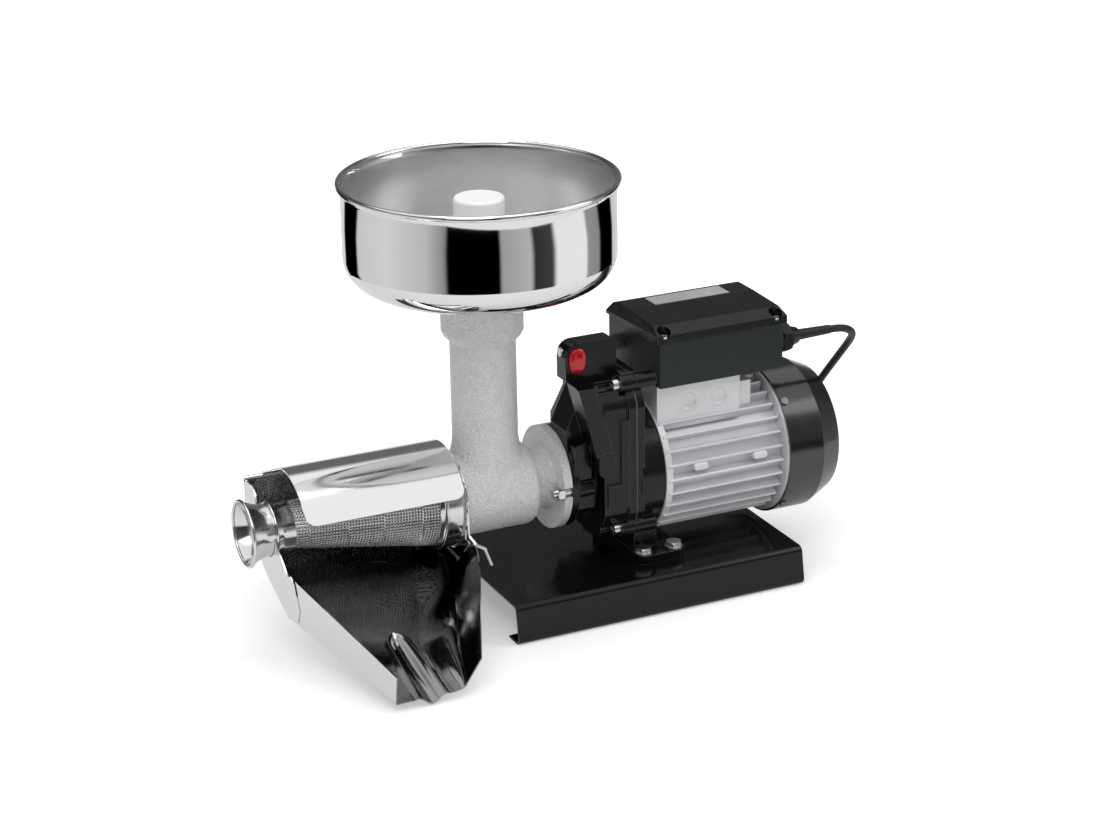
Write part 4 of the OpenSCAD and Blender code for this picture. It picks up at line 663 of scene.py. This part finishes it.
# ... and smooth ones: the crest at the right, the outer edge beyond it, and the floor's right end
CREST_X = [(LIP_Y, -93.1), (-75, -64.2), (FOLD_Y, -52.2), (-10, -46.2), (BACK_Y, -44.2)]
CREST_Z = [(LIP_Y, 12.5), (-120, 34), (-75, 59), (18, 59), (33, 72), (BACK_Y, 96)]
EDGE_X = [(LIP_Y, -79), (-80, -44.2), (FOLD_Y, TRAY_R), (BACK_Y, TRAY_R)]
EDGE_Z = [(LIP_Y, 33), (-80, 88), (FOLD_Y, 82), (-30, 62), (18, 62), (33, 76), (BACK_Y, 100)]
FLOOR_Z = [(LIP_Y, 8.5), (-80, 27), (-48, 34), (0, 50), (18, 56), (33, 69), (BACK_Y, 94)]
# The pressed gutter: it starts at GUTTER_Y, takes GUTTER_RUN to reach its depth, and has a ridge each side
GUTTER_X, GUTTER_Y, GUTTER_RUN = -123.3, -79, 13
GUTTER_DEPTH = [(LIP_Y, 5.8), (-120, 6.4), (GUTTER_Y, 5)]
GUTTER_HALF = [(LIP_Y, 11), (-110, 9.5), (GUTTER_Y, 7.5)]
RIDGE_H, RIDGE_AT, RIDGE_WIDE = .9, 1.12, .16
HALF_STEPS = (.25, .5, .75, .92, 1.05, 1.18, 1.35, 1.6)           # points across, in gutter halves
ACROSS = [-u for u in HALF_STEPS[::-1]] + [0] + list(HALF_STEPS)
FILLET, FILLET_SHARE, FILLET_STEPS = 34, .8, 12
LEAN, LEAN_RUN = .16, 84       # the left wall's top leans back towards the lip


def ease(table, y):
    """Smooth curve through a table of (y, value)."""
    if y <= table[0][0]:
        return table[0][1]
    for i in range(len(table) - 1):
        (y0, v0), (y1, v1) = table[i], table[i + 1]
        if y <= y1:
            s = (v1 - v0) / (y1 - y0)
            before = (v0 - table[i - 1][1]) / (y0 - table[i - 1][0]) if i else s
            after = (table[i + 2][1] - v1) / (table[i + 2][0] - y1) if i + 2 < len(table) else s
            m0 = 0 if before * s <= 0 else (before + s) / 2
            m1 = 0 if after * s <= 0 else (after + s) / 2
            u, h = (y - y0) / (y1 - y0), y1 - y0
            return ((1 + 2 * u) * (1 - u) ** 2 * v0 + u * (1 - u) ** 2 * h * m0 + u * u * (3 - 2 * u) * v1
                    + u * u * (u - 1) * h * m1)
    return table[-1][1]


def line(table, y):
    """Straight runs through a table of (y, value)."""
    for (y0, v0), (y1, v1) in zip(table, table[1:]):
        if y <= y1:
            return v0 + (v1 - v0) * max(0, y - y0) / (y1 - y0)
    return table[-1][1]


def soften(points, radii, n=5):
    """Open path with its corners rounded, always with the same number of points."""
    out = [points[0]]
    for i in range(1, len(points) - 1):
        a, p, b = (Vector(points[k]) for k in (i - 1, i, i + 1))
        if not radii[i]:
            out.append(tuple(p))
            continue
        u, v = a - p, b - p
        turn = math.pi - u.angle(v) if u.length > 1e-6 and v.length > 1e-6 else 0
        reach = min(radii[i] * math.tan(turn / 2), u.length * .45, v.length * .45)
        s, e = p + u.normalized() * reach, p + v.normalized() * reach
        for k in range(n + 1):
            w = k / n
            out.append(tuple(s * (1 - w) ** 2 + p * (2 * w * (1 - w)) + e * w * w))
    out.append(points[-1])
    return out


def tray_section(y):
    """Points of the tray's sheet at y, from the left wall's top over the floor to the right edge."""
    x0, z0 = line(WALL_X, y), line(WALL_Z, y)
    crest_x, crest_z = ease(CREST_X, y), ease(CREST_Z, y)
    edge_z = max(ease(EDGE_Z, y), crest_z + 2)
    end_z = ease(FLOOR_Z, y)
    grown = math.sqrt(max(0, 1 - (1 - clamp((GUTTER_Y - y) / GUTTER_RUN)) ** 2))
    deep = grown * ease(GUTTER_DEPTH, y)
    half = max(1.5, grown * ease(GUTTER_HALF, y))
    fillet = min(FILLET, (crest_x - GUTTER_X - half) * FILLET_SHARE)

    points = [(x0, z0 + line(WALL_H, y)), (x0, z0)]
    for u in ACROSS:
        x = GUTTER_X + half * u
        floor = z0 + (end_z - z0) * (x - x0) / (crest_x - fillet - x0)
        ridge = grown * RIDGE_H * math.exp(-((abs(u) - RIDGE_AT) / RIDGE_WIDE) ** 2)
        dip = deep * math.cos(math.pi * u / 2) ** 2 if abs(u) < 1 else 0
        points.append((x, floor + ridge - dip))
    for i in range(FILLET_STEPS + 1):
        c, s = turned(90 * i / FILLET_STEPS)
        points.append((crest_x - fillet + fillet * s, end_z + (crest_z - end_z) * (1 - c)))
    points.append((ease(EDGE_X, y), edge_z))
    radii = [0, 1.5] + [0] * len(ACROSS) + [5] + [0] * (FILLET_STEPS - 1) + [2.5, 0]
    lean = LEAN * clamp(1 - (y - LIP_Y) / LEAN_RUN)
    return [P(x, y - (z - z0) * lean if i == 0 else y, z) for i, (x, z) in enumerate(soften(points, radii))]


def make_pan(mats):
    """The tray's one bent sheet: its inside coloured darker as painted shade and painted dark reflection, and
    bright outside.
    """
    front, rear = FOLD_Y - LIP_Y - 3, BACK_Y - FOLD_Y - 6
    ys = [LIP_Y, LIP_Y + 1, LIP_Y + 3] + [LIP_Y + 3 + front * i / 44 for i in range(1, 45)]
    ys += [FOLD_Y + 3, FOLD_Y + 6] + [FOLD_Y + 6 + rear * i / 30 for i in range(1, 31)]
    rows = [tray_section(y) for y in ys]
    verts = [p for row in rows for p in row]
    pan = piece("tray_pan", verts, grid(len(rows), len(rows[0])), mats["tray_inside_painted_shade"], "tray", ["drip_tray"],
                "stainless")
    pan.data.materials.append(mats["tray_steel"])
    mod = thicken(pan, TRAY_T, 0)
    mod.use_rim = True
    mod.material_offset = 1
    crisp(pan, 34)


def plate(outline, x, t):
    """Flat plate in Y and Z, t thick from x."""
    return loft([[P(x, y, z) for y, z in outline], [P(x + t, y, z) for y, z in outline]])


def notch(r, rest):
    """Outline of a plate whose top is open round the axis: the lower half of a circle, then other points."""
    return arc((0, AXIS_H), r, -180, 0, 28) + rest


def make_tray_ends(mats):
    """End plates round the spout's neck and the collar, the back with its rolled edge, and the left flap."""
    r, x0, x1 = 23.1, -203, -37.6
    left = notch(r, [(r, 132), (28, 136), (36, TRAY_TOP), (BACK_Y, TRAY_TOP), (BACK_Y, 95), (33, 85.1), (0, 65.3),
                     (FOLD_Y, 47.3), (FOLD_Y - 1, 86), (-r - 11, 99), (-r - 3.5, 103), (-r, AXIS_H)])
    r = 45.6
    right = notch(r, [(r, TRAY_TOP), (BACK_Y, TRAY_TOP), (BACK_Y, 99), (33, 75), (18, 60), (FOLD_Y, 60),
                      (FOLD_Y, 84), (5 - r, 84), (-r, AXIS_H)])
    t = TRAY_T / 2
    back = [(BACK_Y - t, 93), (BACK_Y + t, 93), (BACK_Y + t, TRAY_TOP - 1), (BACK_Y - t, TRAY_TOP - 1)]
    hem = circle((BACK_Y, TRAY_TOP), HEM_R, 24)
    # Flap of the end plate on the outside of the left wall
    way = Vector((LIP_L - TRAY_L, LIP_Y - FOLD_Y, 0)).normalized()
    out = Vector((way.y, -way.x, 0))
    flap = []
    for off in (.75, 1.5):
        points = [(Vector((TRAY_L, FOLD_Y, 0)) + way * along + out * off, z)
                  for along, z in ((0, 49.5), (0, 86.5), (5, 87.5), (9, 82), (14, 58), (11, 47))]
        flap.append([P(q.x, q.y, z) for q, z in points])
    parts = [plate(left, x0, TRAY_T), plate(right, TRAY_R - t, TRAY_T), plate(back, x0, x1 - x0),
             plate(hem, x0, x1 - x0), loft(flap)]
    ends = piece("tray_ends", *merge(parts), mats["tray_steel"], "tray", [], "stainless")
    fix_normals(ends)
    crisp(ends, 30)


# ---------------------------------------------------------------- splash guard

def make_guard(mats):
    """Bent sheet with rounded lower corners, swept along the cone; its rear edge hooks over the tray's hem."""
    left, length, t, gap = -186.0, 142.0, 1.2, .3
    mid, r, bend, flat = (-8.0, AXIS_H), 52.0, 140.0, 17.0
    hem = Vector((BACK_Y - mid[0], TRAY_TOP - mid[1]))
    rear = math.degrees(math.atan2(hem.y, hem.x) + math.acos((r - HEM_R - t / 2 - gap) / hem.length))

    def on_bend(a, run):
        c, s = turned(a)
        return mid[0] + r * c + run * s, mid[1] + r * s - run * c

    c, s = turned(rear)
    run = hem.dot(Vector((s, -c))) + HEM_R
    drop_steps = 8
    drop_turn = 90 / drop_steps
    path = [on_bend(rear, run * (1 - i / 4)) for i in range(4)]
    path += arc(mid, r, rear, bend, 40)
    path += [on_bend(bend, -flat * turned(i * drop_turn)[1]) for i in range(1, drop_steps + 1)]
    drop, corner = len(path), 9.0
    cols = 24
    verts = []
    for side in (1, -1):
        for i, p in enumerate(beside(path, side * t / 2)):
            # How far the ends are drawn in, close to the lower edge
            left_over = flat * (1 - turned(max(0, i - drop + drop_steps + 1) * drop_turn)[1])
            cut = corner - math.sqrt(max(0, corner ** 2 - max(0, corner - left_over) ** 2))
            verts += [P(left + cut + (length - 2 * cut) * k / cols, p[0], p[1]) for k in range(cols + 1)]
    m, n = cols + 1, len(path)
    faces = grid(n, m) + grid(n, m, n * m)
    rim = list(range(m)) + [i * m + cols for i in range(1, n)]
    rim += [(n - 1) * m + k for k in range(cols - 1, -1, -1)] + [i * m for i in range(n - 2, 0, -1)]
    faces += [(a, b, b + n * m, a + n * m) for a, b in zip(rim, rim[1:] + rim[:1])]
    o = piece("guard_sheet", verts, faces, mats["guard_steel"], "guard", ["splash_guard"], "stainless")
    fix_normals(o)
    crisp(o, 50)


# ---------------------------------------------------------------- motor housing

HOUSING_X, HOUSING_L, BARREL_R, BORE_R, FLANGE_R, FIN_R, FINS = 145.0, 118.0, 53.0, 46, 62, 63.0, 30
# Half a fin's section as (radius, half thickness), from its foot in the barrel to its tip
FIN = [(BARREL_R - 1, 2.3), (BARREL_R + 2, 1.5), (FIN_R - .6, 1.2), (FIN_R, .6)]
PEDESTAL_Y, PEDESTAL_L, PEDESTAL_Z = -41.0, (1, 83), (150, 193)
DIMPLES, DIMPLE_Z, DIMPLE_R, CELL = (166.3, 196.6), (162.0, 184.0), 8.4, 22
# Dimple from its edge inwards, as (taken off the radius, depth)
DIMPLE = [(0, 0), (.5, .25), (1.6, 1.5), (2.2, 1.7)]


def fin(turn):
    out = turned(turn)
    side = (-out[1], out[0])
    section = [(r, -w) for r, w in FIN] + [(r, w) for r, w in FIN[::-1]]
    return loft([[P(x, r * out[0] + w * side[0], AXIS_H + r * out[1] + w * side[1]) for r, w in section]
                 for x in (HOUSING_X + 2, HOUSING_X + HOUSING_L - 2)])


def block(xa, xb, y0, y1, za, zb, front):
    """Block that stands in the casting: no underside, and a front face only if front is true."""
    verts, faces = loft([[P(x, y, z) for x, y in ((xa, y0), (xb, y0), (xb, y1), (xa, y1))] for z in (za, zb)],
                        first=False)
    return verts, faces[0 if front else 1:]


def on_face(xa, xb, za, zb):
    """Plain piece of the pedestal's front face."""
    return [P(x, PEDESTAL_Y, z) for x, z in ((xa, za), (xb, za), (xb, zb), (xa, zb))], [(0, 1, 2, 3)]


def dimple(xa, xb):
    """Square cell of the front face with a shallow round dimple."""
    mx, mz, n = (xa + xb) / 2, sum(DIMPLE_Z) / 2, 32
    ways = [(math.cos(2 * math.pi * i / n), math.sin(2 * math.pi * i / n)) for i in range(n)]
    edge = [P(mx + CELL / 2 * c / max(abs(c), abs(d)), PEDESTAL_Y, mz + CELL / 2 * d / max(abs(c), abs(d)))
            for c, d in ways]
    rings = [[P(mx + (DIMPLE_R - off) * c, PEDESTAL_Y + y, mz + (DIMPLE_R - off) * d) for c, d in ways]
             for off, y in DIMPLE]
    return loft([edge] + rings, first=False)


def pad(x, z):
    """Small raised pad with round ends across two fins."""
    rows = []
    for y, grow in ((-59, 0), (-63.5, 0), (-64.5, -1)):
        ends = arc((4, 0), 3.4 + grow, -90, 90, 8) + arc((-4, 0), 3.4 + grow, 90, 270, 8)
        rows.append([P(x + px, y, z + pz) for px, pz in ends])
    return loft(rows, first=False)


def make_housing(mats):
    """Cast housing: barrel, end flange, tapered fins, pedestal with two shallow dimples, and two pads."""
    x0 = HOUSING_X
    xa, xb = x0 + PEDESTAL_L[0], x0 + PEDESTAL_L[1]
    (za, zb), (lo, hi) = PEDESTAL_Z, DIMPLE_Z
    barrel = [(BORE_R, x0), (FLANGE_R, x0), (FLANGE_R, x0 + 6), (BARREL_R, x0 + 6.5), (BARREL_R, x0 + HOUSING_L),
              (BORE_R, x0 + HOUSING_L)]
    parts = [lathe([barrel], about_x, 180)]
    parts += [fin(360 / FINS * i) for i in range(FINS)]
    parts += [block(xa, xb, PEDESTAL_Y, 36, za, zb, False),
              block(xb, xb + 13, PEDESTAL_Y + 4, 32, za, zb - 12, True)]
    parts += [on_face(xa, xb, za, lo), on_face(xa, xb, hi, zb)]
    left, right = DIMPLES
    for x, end in ((xa, left), (left + CELL, right), (right + CELL, xb)):
        parts.append(on_face(x, end, lo, hi))
    parts += [dimple(x, x + CELL) for x in DIMPLES]
    parts += [pad(x0 + 33, AXIS_H + 9), pad(x0 + 92, AXIS_H + 9)]
    o = piece("housing_casting", *merge(parts), mats["fins"], "machine", ["stator_housing"], "fin_aluminium")
    fix_normals(o)
    crisp(o, 40)


# ---------------------------------------------------------------- trim

BUTTON, BUTTON_FRONT, BUTTON_SIZE, BUTTON_DOME = (71.0, 226.8), -42.0, (15.8, 22.8), 3.4


def make_button(mats):
    """Domed push button with a squarish round outline."""
    (x, z), (w, h), n, square = BUTTON, BUTTON_SIZE, 48, 2.6
    rows = [(1, 8.0), (1, BUTTON_DOME)]
    for a in (12, 25, 38, 50, 62, 74, 84):
        c, s = turned(a)
        rows.append((c ** .55, BUTTON_DOME * (1 - s)))
    loops = []
    for scale, y in rows:
        loop = []
        for i in range(n):
            c, d = math.cos(2 * math.pi * i / n), math.sin(2 * math.pi * i / n)
            k = scale * (abs(c) ** square + abs(d) ** square) ** (-1 / square)
            loop.append(P(x + k * c * w / 2, BUTTON_FRONT + y, z + k * d * h / 2))
        loops.append(loop)
    o = piece("button_cap", *loft(loops), mats["red"], "button", ["switch_button"], "red_plastic")
    fix_normals(o)
    crisp(o, 60)


def make_label(mats):
    """Bare plate on the lid's flat."""
    x0, x1, y0, y1, z, t = 168, 242, 4, 25, 249.55, .35
    verts = [P(x, y, h) for h in (z, z + t) for x, y in ((x0, y0), (x1, y0), (x1, y1), (x0, y1))]
    faces = [(3, 2, 1, 0), (4, 5, 6, 7), (0, 1, 5, 4), (1, 2, 6, 5), (2, 3, 7, 6), (3, 0, 4, 7)]
    piece("lid_plate", verts, faces, mats["label"], "machine", [], None, smooth=False)


# ---------------------------------------------------------------- build

make_camera()
make_world()
make_floor()
MATS = make_materials()
dress_nodes(MATS)
for make in (make_cord, make_cone, make_spout, make_collar, make_hopper, make_guard, make_pan, make_tray_ends,
             make_housing, make_button, make_label):
    make(MATS)
for lamp in LAMPS:
    make_lamp(*lamp)

bpy.context.scene.view_settings.view_transform = "Standard"
